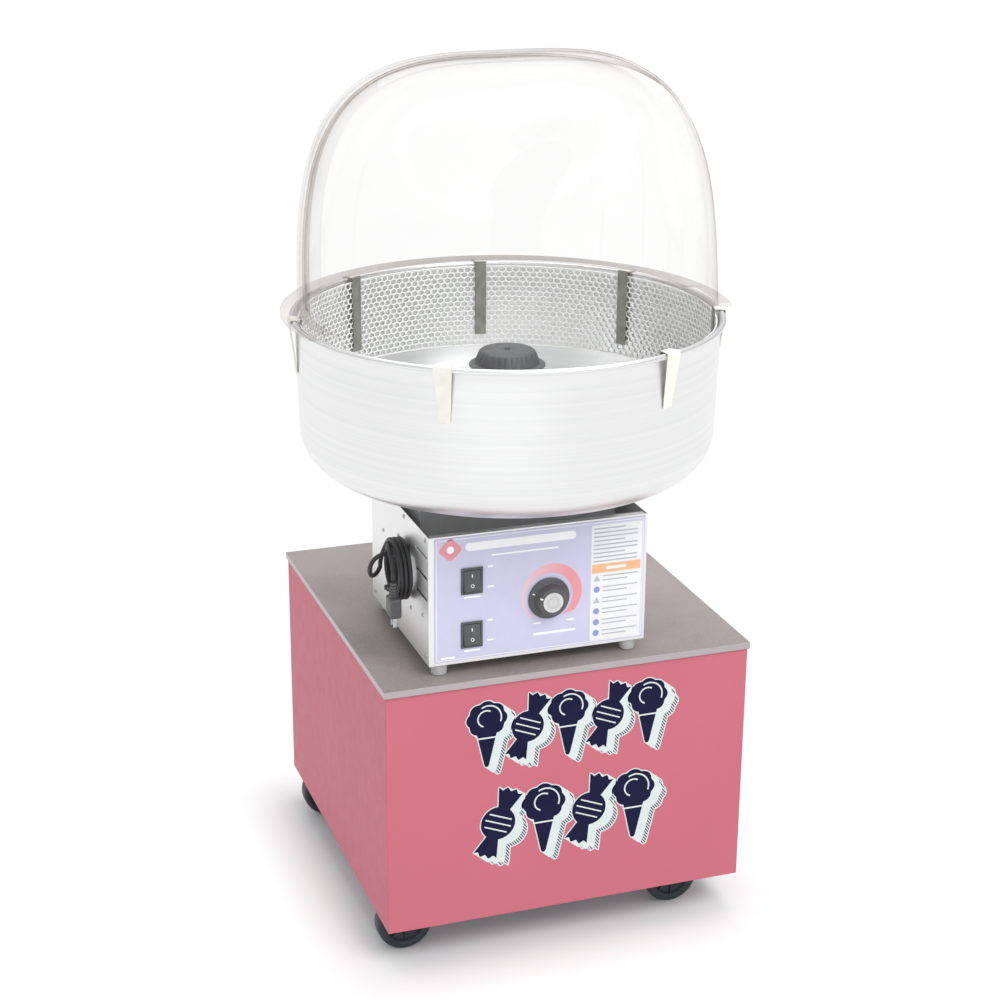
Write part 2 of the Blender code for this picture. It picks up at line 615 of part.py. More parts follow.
def swell_vertex(vert, base):
    """Moves a point of the unit sphere to the shell: a superellipse whose power falls to the back."""
    across = math.hypot(vert.co.x, vert.co.y)
    up = max(vert.co.z, 0)
    rise = SHELL_TOP_Z - base
    if across < 0.00001:
        vert.co = (0, SHELL_Y, base + rise)
        return
    back = max(vert.co.y, 0) / across
    power = 3.4 - 1.3 * back
    reach = (across ** power + up ** power) ** (-1 / power)
    vert.co = (SHELL_R * reach * vert.co.x, SHELL_Y + SHELL_DEPTH * reach * max(vert.co.y, 0),
               base + rise * reach * up)


# ---- mains cord -------------------------------------------------------------------------------
def cord_route():
    """The cord from the strain relief, bending down and back towards the coil's outermost turn."""
    x, y, z = -CAB_W / 2 - STRAIN_RELIEF_L - GAP, COIL_Y, GLAND_Z
    return [(x, y, z), (x - 0.008, y, z - 0.0005), (x - 0.018, y + 0.002, z - 0.005),
            (x - 0.025, y + 0.007, z - 0.016), (x - 0.026, y + 0.015, z - 0.031),
            (x - 0.020, y + 0.025, z - 0.043), (x - 0.010, y + 0.035, z - 0.045),
            (x - 0.0015, y + 0.042, z - 0.038)]


def smooth(points, per_span=3):
    """Points along a Catmull-Rom curve through the given ones."""
    knots = [Vector(p) for p in points]
    knots = [2 * knots[0] - knots[1]] + knots + [2 * knots[-1] - knots[-2]]
    found = []
    for a, b, c, d in zip(knots, knots[1:], knots[2:], knots[3:]):
        for step in range(per_span):
            t = step / per_span
            found.append(0.5 * (2 * b + (c - a) * t + (2 * a - 5 * b + 4 * c - d) * t ** 2
                                + (3 * b - a - 3 * c + d) * t ** 3))
    return found + [knots[-2]]


def make_cord(machine):
    wall = -CAB_W / 2
    outside = wall - GAP
    gland = rod(0.0125, (outside, 0, 0), (outside - 0.0045, 0, 0), parts, 6)
    join(gland, rod(0.0080, (outside - 0.001, 0, 0), (outside + 0.010, 0, 0)),
         rod(0.0085, (outside - 0.004, 0, 0), (wall - STRAIN_RELIEF_L, 0, 0), end_radius=0.0050),
         rod(0.0120, (wall + SHEET + GAP, 0, 0), (wall + SHEET + 0.006, 0, 0), steps=6))
    keep(gland, "cord_gland", BLACK, machine, (0, COIL_Y, GLAND_Z))

    curve = bpy.data.curves.new("mains_cord", "CURVE")
    curve.dimensions = "3D"
    curve.bevel_depth = CORD_D / 2
    curve.bevel_resolution = 2
    curve.use_fill_caps = True
    route = smooth(cord_route())
    spline = curve.splines.new("POLY")
    spline.points.add(len(route) - 1)
    for point, place in zip(spline.points, route):
        point.co = (*place, 1)
    cord = bpy.data.objects.new("mains_cord", curve)
    parts.objects.link(cord)
    keep(cord, "mains_cord", BLACK, machine)

    near, far = COIL_OFF_WALL, COIL_OFF_WALL + 3 * CORD_D
    inner, outer = CORD_INNER_R - CORD_D / 2, CORD_OUTER_R + CORD_D / 2
    coil = turned([(outer, far - 0.002), (outer, near + 0.002), (outer - 0.002, near),
                   (inner + 0.002, near), (inner, near + 0.002), (inner, far - 0.002),
                   (inner + 0.002, far), (outer - 0.002, far)], 32)
    keep(coil, "cord_coil", BLACK, machine, (wall, COIL_Y, COIL_Z))
    coil.rotation_euler.y = math.radians(-90)

    plug_x = wall - far - CORD_D / 2 - 0.006
    plug_y = COIL_Y - CORD_OUTER_R
    top = COIL_Z - 0.004
    plug = rod(0.0045, (0, 0, 0), (0, 0, -0.024), parts, end_radius=0.0070)
    join(plug, box((-0.0090, -0.0145, -0.054), (0.0090, 0.0145, -0.022)))
    for y in (-0.0064, 0.0064):
        join(plug, box((-0.0032, y - 0.0008, -0.071), (0.0032, y + 0.0008, -0.053)))
    keep(plug, "mains_plug", BLACK, machine, (plug_x, plug_y, top))


# ---- the whole machine --------------------------------------------------------------------------
cart_origin = empty("cart_origin", (CART_X, CART_Y, 0))
machine_origin = empty("machine_origin", (CART_X + MACHINE_DX, CART_Y + MACHINE_DY, 0))

make_cart(cart_origin)
make_rear_door(cart_origin)
for corner, sign_x, sign_y in (("fl", -1, -1), ("fr", 1, -1), ("rl", -1, 1), ("rr", 1, 1)):
    make_caster(cart_origin, corner, sign_x * CASTER_X, sign_y * CASTER_Y)
make_cabinet(machine_origin)
make_overlay(machine_origin)
make_switch(machine_origin, "power_switch", SWITCH_Z[0])
make_switch(machine_origin, "heat_switch", SWITCH_Z[1])
make_heat_control(machine_origin)
make_drive(machine_origin)
make_head(machine_origin)
make_clips(machine_origin, make_pan(machine_origin))
make_bubble(machine_origin)
make_cord(machine_origin)
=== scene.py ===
"""Looks for a cotton candy machine on its wheeled cart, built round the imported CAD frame.
The camera and the mains cord come first, then materials, the detailed pieces, the kept CAD nodes, and
the studio. Metres, +Z up, the front faces -Y. The "machine frame" has its origin on the floor under the
floss head's axis."""

import math

import bmesh
import bpy
import numpy as np
from mathutils import Matrix, Vector


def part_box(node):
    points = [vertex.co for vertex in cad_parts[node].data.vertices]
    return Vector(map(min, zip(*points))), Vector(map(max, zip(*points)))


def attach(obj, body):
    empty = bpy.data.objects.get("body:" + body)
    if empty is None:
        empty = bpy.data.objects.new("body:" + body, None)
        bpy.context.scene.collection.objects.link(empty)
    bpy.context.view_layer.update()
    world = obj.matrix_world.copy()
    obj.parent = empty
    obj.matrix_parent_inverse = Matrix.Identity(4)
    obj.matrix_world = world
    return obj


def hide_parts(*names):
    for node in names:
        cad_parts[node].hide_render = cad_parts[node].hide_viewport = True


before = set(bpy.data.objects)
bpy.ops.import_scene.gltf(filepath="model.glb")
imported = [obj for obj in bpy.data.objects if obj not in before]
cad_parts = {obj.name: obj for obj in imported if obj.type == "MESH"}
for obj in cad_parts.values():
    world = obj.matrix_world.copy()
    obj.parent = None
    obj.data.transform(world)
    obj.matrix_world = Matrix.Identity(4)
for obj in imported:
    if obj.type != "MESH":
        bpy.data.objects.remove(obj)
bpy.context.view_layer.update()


def middle_of(node):
    low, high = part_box(node)
    return Vector(((low.x + high.x) / 2, (low.y + high.y) / 2, 0))


# ---- places and sizes, read from the frame -------------------------------------------------------
CART = middle_of("cart_top")
MACHINE = middle_of("floss_pan")
CART_FRONT_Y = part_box("cart_front_panel")[0].y
PAN_BOTTOM_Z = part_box("floss_pan")[0].z
PAN_TOP_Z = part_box("floss_pan")[1].z
PAN_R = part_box("floss_pan")[1].x - MACHINE.x
NET_LOW_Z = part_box("floss_net")[0].z
NET_TOP_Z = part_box("floss_net")[1].z
NET_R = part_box("floss_net")[1].x - MACHINE.x - 0.0005
WALL_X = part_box("cabinet_left_panel")[0].x - MACHINE.x
CAB_BACK_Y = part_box("cabinet_rear_panel")[1].y - MACHINE.y
OVERLAY_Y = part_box("control_overlay")[0].y - MACHINE.y
CAP_LOW_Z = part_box("head_cap")[0].z
CAP_TOP_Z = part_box("head_cap")[1].z
CAP_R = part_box("head_cap")[1].x - MACHINE.x
BUBBLE_LOW_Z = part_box("bubble")[0].z
BUBBLE_TOP_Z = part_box("bubble")[1].z
BUBBLE_FLANGE_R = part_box("bubble")[1].x - MACHINE.x
KNOB_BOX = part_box("heat_knob")
CORNERS = ("fl", "fr", "rl", "rr")

# ---- camera --------------------------------------------------------------------------------------
CAMERA_FROM_CART = Vector((-1.0731, -3.0118, 1.792))
CAMERA_YAW = 19.408               # degrees to the right of straight back
CAMERA_PITCH = 19.732             # degrees down
CAMERA_ROLL = 0.4168
LENS = 74.87                      # mm on a 36 mm sensor

# ---- mains cord, in the machine frame ------------------------------------------------------------
CORD_D = 0.007
COIL_Y = -0.045
COIL_Z = 0.620
GLAND_Z = COIL_Z + 0.0262
RELIEF_L = 0.030                  # from the cabinet's wall to the strain relief's thin end
COIL_ROWS_X = (WALL_X - 0.0230, WALL_X - 0.0160, WALL_X - 0.0090)   # away from the wall, inwards
COIL_OUTER_R = 0.0455
COIL_INNER_R = 0.0385
TURN_POINTS = 32
PLUG_X = WALL_X - 0.0360
PLUG_Y = COIL_Y - COIL_OUTER_R
PLUG_TOP_Z = COIL_Z - 0.004

# ---- bubble, in the machine frame ----------------------------------------------------------------
BUBBLE_T = 0.003
FLANGE_IN_R = 0.299
FLANGE_FRONT_Y = -0.090           # the flange ends here, just ahead of the collar's feet
SHELL_R = 0.303
SHELL_TOP_Z = BUBBLE_TOP_Z - 0.010
SHELL_Y = 0.030
SHELL_DEPTH = 0.275
# The wider collar round the opening, as arches from its step forward to its edge: half width,
# height of the top, y at the foot, y at the top.
COLLAR_ARCHES = ((0.3210, BUBBLE_TOP_Z, 0.020, 0.022),
                 (0.3190, BUBBLE_TOP_Z - 0.002, -0.035, -0.006),
                 (0.3105, BUBBLE_TOP_Z - 0.008, -0.085, -0.032))

# ---- pan and clips -------------------------------------------------------------------------------
BEAD_R = 0.0045
PAN_FILLET = 0.065
PAN_WALL_R = 0.318
PAN_FLARE = 0.0045
PAN_T = 0.0015
PAN_HOLE_R = 0.075
CLIP_OUTER_W = 0.027
CLIP_INNER_W = 0.018
CLIP_T = 0.0016
CLIP_OUTER_L = 0.0825             # legs, measured down from the rim
CLIP_INNER_L = 0.1215
CLIP_ANGLES = (-125.2, -64.4, -16.0, 33.9, 78.7, 121.2, 172.0)   # degrees from +X, about +Z

# ---- front of the cabinet ------------------------------------------------------------------------
SWITCH_X = -0.108
SWITCH_Z = (0.631, 0.544)
ROCKER_TILT = math.radians(7)
ROCKER_REACH = 0.0165             # from the rocker's pivot to its ends
ROCKER_DIP = 0.00325              # how far its face stands out at the pivot
ROCKER_RISE = 0.0018              # and how much more at its ends
KNOB_X = 0.015
KNOB_Z = 0.5875
BADGE_X = -0.1415
BADGE_Z = 0.6835
PRINT_T = 0.00008                 # ink and film layers
SIDE_SCREWS = ((-0.138, 0.697), (-0.028, 0.697), (0.084, 0.697), (0.0856, 0.634), (0.002, 0.655),
               (-0.062, 0.560), (-0.123, 0.572), (-0.138, 0.512), (0.136, 0.512))   # y and z

# ---- decal on the cart ---------------------------------------------------------------------------
DECAL_T = 0.00010                 # each of its five film layers
BLOCK_SHIFT = (0.0105, -0.0085)   # pale block shadow, right and down
HATCH_SHIFT = (0.0175, -0.0140)   # hatched shadow behind it
DECAL_MARGIN = 0.0016
SWEET_TILT = math.radians(68)     # the wrapped sweets lean this way
# Each row: its height, the size of its pictograms, where they stand, and which ones they are.
DECAL_ROWS = ((0.3876, 1.045, (-0.1374, -0.0708, -0.0043, 0.0623, 0.1288), (0, 1, 0, 1, 0)),
              (0.2284, 1.130, (-0.1181, -0.0423, 0.0335, 0.1093), (1, 0, 1, 0)))


# ---- small tools ---------------------------------------------------------------------------------
def link(obj):
    bpy.context.scene.collection.objects.link(obj)
    return obj


def piece(name, bm, angle=35):
    """A mesh object from a bmesh, shaded smooth up to an edge angle in degrees."""
    bmesh.ops.recalc_face_normals(bm, faces=bm.faces)
    mesh = bpy.data.meshes.new(name)
    bm.to_mesh(mesh)
    bm.free()
    mesh.shade_smooth()
    mesh.set_sharp_from_angle(angle=math.radians(angle))
    return link(bpy.data.objects.new(name, mesh))


def dress(obj, body, look, at, replaces=()):
    """Gives a finished piece its material, its place, the body that it rides on and what it stands for."""
    obj.location = at
    obj.data.materials.clear()
    obj.data.materials.append(look)
    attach(obj, body)
    if replaces:
        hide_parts(*replaces)
    return obj


def arc(center, radius, start, end, count):
    """Points round a centre, from one angle to another in degrees."""
    angles = np.radians(np.linspace(start, end, count))
    return [(center[0] + radius * math.cos(a), center[1] + radius * math.sin(a)) for a in angles]


def around(items):
    """Each item with the one that follows it, and the last with the first."""
    return zip(items, [*items[1:], items[0]])


def lathe(bm, profile, steps, place=Matrix.Identity(4), radius_at=None):
    """A closed (radius, height) outline turned about Z, then moved. radius_at(radius, height, angle) may
    change the radius round the turn, as on a fluted knob."""
    rings = []
    for step in range(steps):
        angle = 2 * math.pi * step / steps
        ring = []
        for radius, height in profile:
            reach = radius_at(radius, height, angle) if radius_at else radius
            spot = place @ Vector((reach * math.cos(angle), reach * math.sin(angle), height))
            ring.append(bm.verts.new(spot))
        rings.append(ring)
    join_rings(bm, rings)


def join_rings(bm, rings):
    """Faces between closed rings of as many points each, and from the last ring back to the first."""
    for ring, following in around(rings):
        for (a, b), (c, d) in zip(around(ring), around(following)):
            bm.faces.new((a, b, d, c))


def turned_piece(name, profile, steps, place=Matrix.Identity(4), radius_at=None, angle=35):
    """A mesh object from one turned outline."""
    bm = bmesh.new()
    lathe(bm, profile, steps, place, radius_at)
    return piece(name, bm, angle)


def block(bm, low, high, round_by=0.0, segments=2, place=Matrix.Identity(4)):
    """A block between two corners, with its edges rounded, then moved."""
    low, high = Vector(low), Vector(high)
    before = set(bm.verts)
    made = bmesh.ops.create_cube(bm, size=1.0)["verts"]
    bmesh.ops.scale(bm, vec=high - low, verts=made)
    bmesh.ops.translate(bm, vec=(low + high) / 2, verts=made)
    if round_by:
        edges = {edge for vert in made for edge in vert.link_edges}
        bmesh.ops.bevel(bm, geom=list(edges), offset=round_by, segments=segments, affect="EDGES",
                        profile=0.5)
    made = [vert for vert in bm.verts if vert not in before]
    bmesh.ops.transform(bm, matrix=place, verts=made)


def sheet_shape(bm, outline, back, front):
    """A flat (x, z) outline as a thin plate between two depths along Y."""
    rear = [bm.verts.new((x, back, z)) for x, z in outline]
    face = [bm.verts.new((x, front, z)) for x, z in outline]
    bm.faces.new(rear)
    bm.faces.new(face)
    for (a, b), (c, d) in zip(around(rear), around(face)):
        bm.faces.new((a, b, d, c))


def hoop_shape(bm, outer, inner, back, front):
    """A flat frame between two (x, z) outlines with as many points each."""
    rings = [[bm.verts.new((x, y, z)) for x, z in line]
             for y, line in ((back, outer), (front, outer), (front, inner), (back, inner))]
    join_rings(bm, rings)


def rounded(low, high, radius, per_corner=5):
    """A rectangle with round corners, as an (x, z) outline."""
    centers = ((high[0] - radius, high[1] - radius, 0), (low[0] + radius, high[1] - radius, 90),
               (low[0] + radius, low[1] + radius, 180), (high[0] - radius, low[1] + radius, 270))
    points = []
    for x, z, start in centers:
        points += arc((x, z), radius, start, start + 90, per_corner)
    return points


def add_bevel(obj, width, angle=35, segments=2):
    mod = obj.modifiers.new("edges", "BEVEL")
    mod.width = width
    mod.segments = segments
    mod.limit_method = "ANGLE"
    mod.angle_limit = math.radians(angle)
    return mod


def smooth_route(points, per_span=4):
    """Points along a Catmull-Rom curve through the given ones."""
    knots = [Vector(p) for p in points]
    knots = [2 * knots[0] - knots[1]] + knots + [2 * knots[-1] - knots[-2]]
    found = []
    for a, b, c, d in zip(knots, knots[1:], knots[2:], knots[3:]):
        for step in range(per_span):
            t = step / per_span
            found.append(0.5 * (2 * b + (c - a) * t + (2 * a - 5 * b + 4 * c - d) * t ** 2
                                + (3 * b - a - 3 * c + d) * t ** 3))
    return found + [knots[-2]]


def ease(value):
    value = min(max(value, 0.0), 1.0)
    return value * value * (3 - 2 * value)


# ---- materials -----------------------------------------------------------------------------------
class Look:
    """A material being built round its Principled shader."""

    def __init__(self, name, color, roughness, metallic=0.0):
        self.material = bpy.data.materials.new(name)
        self.material.use_nodes = True
        self.tree = self.material.node_tree
        self.shader = self.tree.nodes["Principled BSDF"]
        self.color = (*color, 1)
        self.roughness = roughness
        self.shader.inputs["Base Color"].default_value = self.color
        self.shader.inputs["Roughness"].default_value = roughness
        self.shader.inputs["Metallic"].default_value = metallic

    def node(self, kind, inputs=(), **settings):
        made = self.tree.nodes.new(kind)
        for key, value in settings.items():
            setattr(made, key, value)
        for key, value in dict(inputs).items():
            if isinstance(value, bpy.types.NodeSocket):
                self.tree.links.new(value, made.inputs[key])
            else:
                made.inputs[key].default_value = value
        return made

    def point(self):
        return self.node("ShaderNodeTexCoord").outputs["Object"]

    def stretched(self, scale):
        mapping = self.node("ShaderNodeMapping", {"Vector": self.point(), "Scale": scale})
        return mapping.outputs["Vector"]

    def noise(self, scale=1.0, stretch=(1, 1, 1), detail=2.0, vector=None):
        """Noise from 0 to 1, with features about 1 / scale metres across."""
        where = vector or self.stretched(stretch)
        inputs = {"Vector": where, "Scale": scale, "Detail": detail}
        return self.node("ShaderNodeTexNoise", inputs).outputs["Fac"]

    def math(self, operation, first, second=0.0):
        return self.node("ShaderNodeMath", {0: first, 1: second}, operation=operation).outputs[0]

    def spread(self, value, low, high, start=0.35, end=0.65):
        """Maps the middle of a noise's range onto low to high."""
        inputs = {"Value": value, "From Min": start, "From Max": end, "To Min": low, "To Max": high}
        return self.node("ShaderNodeMapRange", inputs).outputs["Result"]

    def mixed(self, factor, first, second):
        inputs = {"Factor": factor, 6: first, 7: second}
        return self.node("ShaderNodeMix", inputs, data_type="RGBA").outputs[2]

    def vary_color(self, factor, other):
        color = self.mixed(factor, self.color, (*other, 1))
        self.tree.links.new(color, self.shader.inputs["Base Color"])

    def mottle(self, other, scale, detail=4, most=1.0):
        """Lets the colour drift towards another in soft patches."""
        self.vary_color(self.spread(self.noise(scale, detail=detail), 0.0, most), other)

    def vary_roughness(self, value):
        self.tree.links.new(value, self.shader.inputs["Roughness"])

    def vary_gloss(self, noise, less, more):
        """Lets the roughness wander that far below and above its own value."""
        self.vary_roughness(self.spread(noise, self.roughness - less, self.roughness + more))

    def bump(self, height, strength, distance=0.001):
        inputs = {"Height": height, "Strength": strength, "Distance": distance}
        normal = self.node("ShaderNodeBump", inputs).outputs["Normal"]
        self.tree.links.new(normal, self.shader.inputs["Normal"])


def painted(name, color, darker, roughness):
    """Powder coat: orange peel, a trace of mottling and uneven gloss."""
    look = Look(name, color, roughness)
    look.shader.inputs["Specular IOR Level"].default_value = 0.08
    look.mottle(darker, 5.0)
    look.vary_gloss(look.noise(40.0), 0.03, 0.04)
    look.bump(look.noise(700.0), 0.10, 0.0006)
    return look.material


def brushed(name, color, darker, roughness, grain=(6, 6, 1600), strength=0.04):
    """Brushed sheet metal with its grain along the sheet."""
    look = Look(name, color, roughness, 1.0)
    lines = look.noise(1.0, stretch=grain, detail=3)
    look.mottle(darker, 9.0, most=0.6)
    look.vary_gloss(lines, 0.04, 0.08)
    look.bump(lines, strength, 0.0004)
    return look.material


def spun(name, color, darker, roughness, strength=0.05):
    """Metal spun on a lathe: fine rings round the piece's own Z axis."""
    look = Look(name, color, roughness, 1.0)
    parts = look.node("ShaderNodeSeparateXYZ", {0: look.point()}).outputs
    radius = look.math("SQRT", look.math("ADD", look.math("MULTIPLY", parts["X"], parts["X"]),
                                         look.math("MULTIPLY", parts["Y"], parts["Y"])))
    ring = look.node("ShaderNodeCombineXYZ", {0: radius, 1: parts["Z"]}).outputs[0]
    fine = look.noise(900.0, vector=ring, detail=3)
    broad = look.noise(160.0, vector=ring, detail=2)
    look.vary_color(look.spread(broad, 0.0, 0.6), darker)
    look.vary_gloss(fine, 0.05, 0.08)
    look.bump(fine, strength, 0.0004)
    return look.material


def top_steel():
    """The cart's top: dark mottled stainless, with its folded edge polished bright."""
    look = Look("cart_top_steel", (0.375, 0.325, 0.316), 0.60, 0.20)
    normal = look.node("ShaderNodeNewGeometry").outputs["Normal"]
    up = look.node("ShaderNodeSeparateXYZ", {0: normal}).outputs["Z"]
    edge = look.spread(up, 1.0, 0.0, 0.35, 0.75)
    cloud = look.spread(look.noise(7.0, detail=6), 0.0, 1.0)
    speck = look.spread(look.noise(420.0, detail=3), 0.0, 1.0)
    dark = look.mixed(cloud, look.color, (0.285, 0.243, 0.238, 1))
    flecked = look.mixed(look.math("MULTIPLY", speck, 0.5), dark, (0.46, 0.43, 0.42, 1))
    look.tree.links.new(look.mixed(edge, flecked, (0.50, 0.455, 0.465, 1)), look.shader.inputs["Base Color"])
    rough = look.math("ADD", look.spread(speck, 0.56, 0.68, 0, 1), look.math("MULTIPLY", edge, -0.25))
    look.vary_roughness(rough)
    look.tree.links.new(look.spread(edge, 0.20, 0.9, 0, 1), look.shader.inputs["Metallic"])
    look.bump(speck, 0.10, 0.0004)
    return look.material


def moulded(name, color, other, roughness, grain=500.0, strength=0.10):
    """Plastic, enamel or rubber: fine texture and slightly uneven colour and gloss."""
    look = Look(name, color, roughness)
    look.mottle(other, 60.0, 3)
    look.vary_gloss(look.noise(120.0), 0.06, 0.08)
    look.bump(look.noise(grain), strength, 0.0004)
    return look.material


def plated(name, color, darker, roughness):
    """Plated or turned metal with faint clouding."""
    look = Look(name, color, roughness, 1.0)
    look.mottle(darker, 70.0)
    look.vary_gloss(look.noise(200.0), 0.06, 0.12)
    look.bump(look.noise(900.0), 0.06, 0.0003)
    return look.material


def printed(name, color, other, roughness=0.42):
    """Ink or vinyl film: matt, with a fine tooth and a little uneven ink."""
    look = Look(name, color, roughness)
    look.shader.inputs["Specular IOR Level"].default_value = 0.15
    look.mottle(other, 45.0)
    look.bump(look.noise(1400.0), 0.06, 0.0002)
    return look.material


def hatched(name, ink, paper):
    """Fine slanting lines, as in a hatched drop shadow."""
    look = Look(name, paper, 0.42)
    parts = look.node("ShaderNodeSeparateXYZ", {0: look.point()}).outputs
    slant = look.math("ADD", look.math("MULTIPLY", parts["X"], 1350.0),
                      look.math("MULTIPLY", parts["Z"], 1050.0))
    wave = look.spread(look.math("SINE", slant), 0.0, 1.0, -0.15, 0.15)
    look.vary_color(wave, ink)
    look.bump(look.noise(1400.0), 0.06, 0.0002)
    return look.material


def heat_scale():
    """The crescent's colour runs from pale pink at the low end to red at the high end."""
    look = Look("scale_print", (0.84, 0.56, 0.62), 0.42)
    across = look.node("ShaderNodeSeparateXYZ", {0: look.point()}).outputs["X"]
    look.vary_color(look.spread(across, 0.0, 1.0, KNOB_X - 0.035, KNOB_X + 0.035), (0.82, 0.32, 0.36))
    look.bump(look.noise(1400.0), 0.06, 0.0002)
    return look.material


def clear_acrylic():
    """Clear acrylic: see-through face on, warmer where it is seen edge on, and glossy."""
    look = Look("clear_acrylic", (0.9, 0.9, 0.9), 0.02)
    facing = look.node("ShaderNodeLayerWeight", {"Blend": 0.5}).outputs["Facing"]
    edge = look.math("POWER", facing, 7.0)
    wiped = look.spread(look.noise(5.0, detail=4), 0.0, 1.0)
    clean = look.mixed(wiped, (0.998, 0.998, 0.996, 1), (0.990, 0.990, 0.988, 1))
    tint = look.mixed(edge, clean, (0.52, 0.46, 0.42, 1))
    see = look.node("ShaderNodeBsdfTransparent", {"Color": tint}).outputs[0]
    gloss = look.node("ShaderNodeBsdfGlossy", {"Color": (1, 1, 1, 1), "Roughness": 0.04}).outputs[0]
    share = look.math("ADD", look.math("MULTIPLY", look.math("POWER", facing, 5.0), 0.25), 0.030)
    mix = look.node("ShaderNodeMixShader", {0: share, 1: see, 2: gloss}).outputs[0]
    look.tree.nodes.remove(look.shader)
    look.tree.links.new(mix, look.tree.nodes["Material Output"].inputs["Surface"])
    return look.material


PINK = painted("pink_powder_coat", (0.585, 0.164, 0.215), (0.570, 0.158, 0.208), 0.42)
STAINLESS = brushed("brushed_stainless", (0.90, 0.90, 0.90), (0.87, 0.87, 0.88), 0.42)
TOP_STEEL = top_steel()
ALUMINIUM = spun("spun_aluminium", (0.87, 0.87, 0.87), (0.80, 0.805, 0.81), 0.33)
INSERT = spun("turned_insert", (0.74, 0.74, 0.74), (0.50, 0.50, 0.51), 0.24)
ZINC = plated("zinc_plate", (0.60, 0.61, 0.63), (0.46, 0.47, 0.50), 0.34)
COPPER = plated("copper_ring", (0.72, 0.42, 0.24), (0.55, 0.30, 0.17), 0.30)
BLACK = moulded("black_plastic", (0.078, 0.079, 0.082), (0.094, 0.095, 0.098), 0.42)
# Mid grey, much paler than the black enamel it stands for: painted light that lifts the pan support in the
# shaded recess under the pan.
LIT_ENAMEL = moulded("black_enamel", (0.330, 0.332, 0.337), (0.365, 0.367, 0.371), 0.45, 260.0, 0.06)
TYRE = moulded("tyre_rubber", (0.016, 0.026, 0.030), (0.028, 0.040, 0.044), 0.50, 650.0, 0.18)
FOOT_GREY = moulded("foot_rubber", (0.56, 0.56, 0.57), (0.49, 0.49, 0.50), 0.60, 650.0, 0.18)
CORD_PVC = moulded("cord_pvc", (0.022, 0.022, 0.024), (0.035, 0.035, 0.038), 0.45, 900.0, 0.14)
CREAM = moulded("cream_plastic", (0.86, 0.85, 0.79), (0.80, 0.79, 0.72), 0.45)
NET = moulded("net_plastic", (0.95, 0.95, 0.94), (0.90, 0.91, 0.88), 0.42)
# The clips' inner legs are painted shade: the same strip as the cream outer legs, coloured dark grey for the
# shade inside the bowl.
CLIP_INNER = moulded("clip_inner_painted_shade", (0.27, 0.27, 0.24), (0.20, 0.20, 0.18), 0.50)
CLEAR = clear_acrylic()
LAVENDER = printed("overlay_film", (0.600, 0.590, 0.760), (0.620, 0.610, 0.775), 0.34)
WHITE_INK = printed("white_ink", (0.95, 0.95, 0.96), (0.91, 0.91, 0.93))
GREY_INK = printed("grey_ink", (0.44, 0.45, 0.50), (0.49, 0.50, 0.55))
LABEL_FILM = printed("label_film", (0.84, 0.84, 0.86), (0.80, 0.80, 0.83))
ORANGE_INK = printed("orange_ink", (0.88, 0.50, 0.28), (0.85, 0.47, 0.26))
BLUE_INK = printed("blue_ink", (0.28, 0.31, 0.64), (0.31, 0.34, 0.67))
BADGE_INK = printed("badge_ink", (0.78, 0.34, 0.39), (0.74, 0.31, 0.36))
SCALE_INK = heat_scale()
NAVY_FILM = printed("navy_film", (0.0030, 0.0045, 0.034), (0.005, 0.0065, 0.042), 0.36)
PALE_FILM = printed("pale_film", (0.66, 0.73, 0.72), (0.70, 0.76, 0.75), 0.36)
HATCH_FILM = hatched("hatch_film", (0.006, 0.010, 0.055), (0.66, 0.73, 0.72))


# ---- camera and cord -----------------------------------------------------------------------------
def make_camera():
    camera = link(bpy.data.objects.new("camera", bpy.data.cameras.new("camera")))
    camera.data.lens = LENS
    camera.data.sensor_width = 36
    camera.data.clip_end = 100
    turn = Matrix.Rotation(math.radians(-CAMERA_YAW), 4, "Z")
    turn = turn @ Matrix.Rotation(math.radians(90 - CAMERA_PITCH), 4, "X")
    turn = turn @ Matrix.Rotation(math.radians(CAMERA_ROLL), 4, "Z")
    camera.matrix_world = Matrix.Translation(CART + CAMERA_FROM_CART) @ turn
    bpy.context.scene.camera = camera


def cord_route():
    """Out of the strain relief, down and back to the coil's outer layer, three turns towards the wall,
    three inner turns out again, and over the outer layer down to the plug."""
    x, y, z = WALL_X - RELIEF_L - 0.0003, COIL_Y, GLAND_Z
    lead = [(x, y, z), (x - 0.008, y, z - 0.0005), (x - 0.018, y + 0.002, z - 0.005),
            (x - 0.025, y + 0.007, z - 0.016), (x - 0.026, y + 0.015, z - 0.031),
            (x - 0.020, y + 0.025, z - 0.043), (x - 0.010, y + 0.035, z - 0.045),
            (x - 0.0015, y + 0.042, z - 0.038)]
    across, up = lead[-1][1] - COIL_Y, lead[-1][2] - COIL_Z
    start_r, start_x = math.hypot(across, up), lead[-1][0]
    start = math.degrees(math.atan2(up, across))
    whole = 180 + 6 * 360 - start
    count = round(whole / 360 * TURN_POINTS)
    points = []
    for step in range(1, count + 1):
        turned = whole * step / count
        angle = math.radians(start + turned)
        cord_x, radius = coil_place(turned, start_x, start_r, whole)
        points.append(Vector((cord_x, COIL_Y + radius * math.cos(angle), COIL_Z + radius * math.sin(angle))))
    return smooth_route(lead) + points


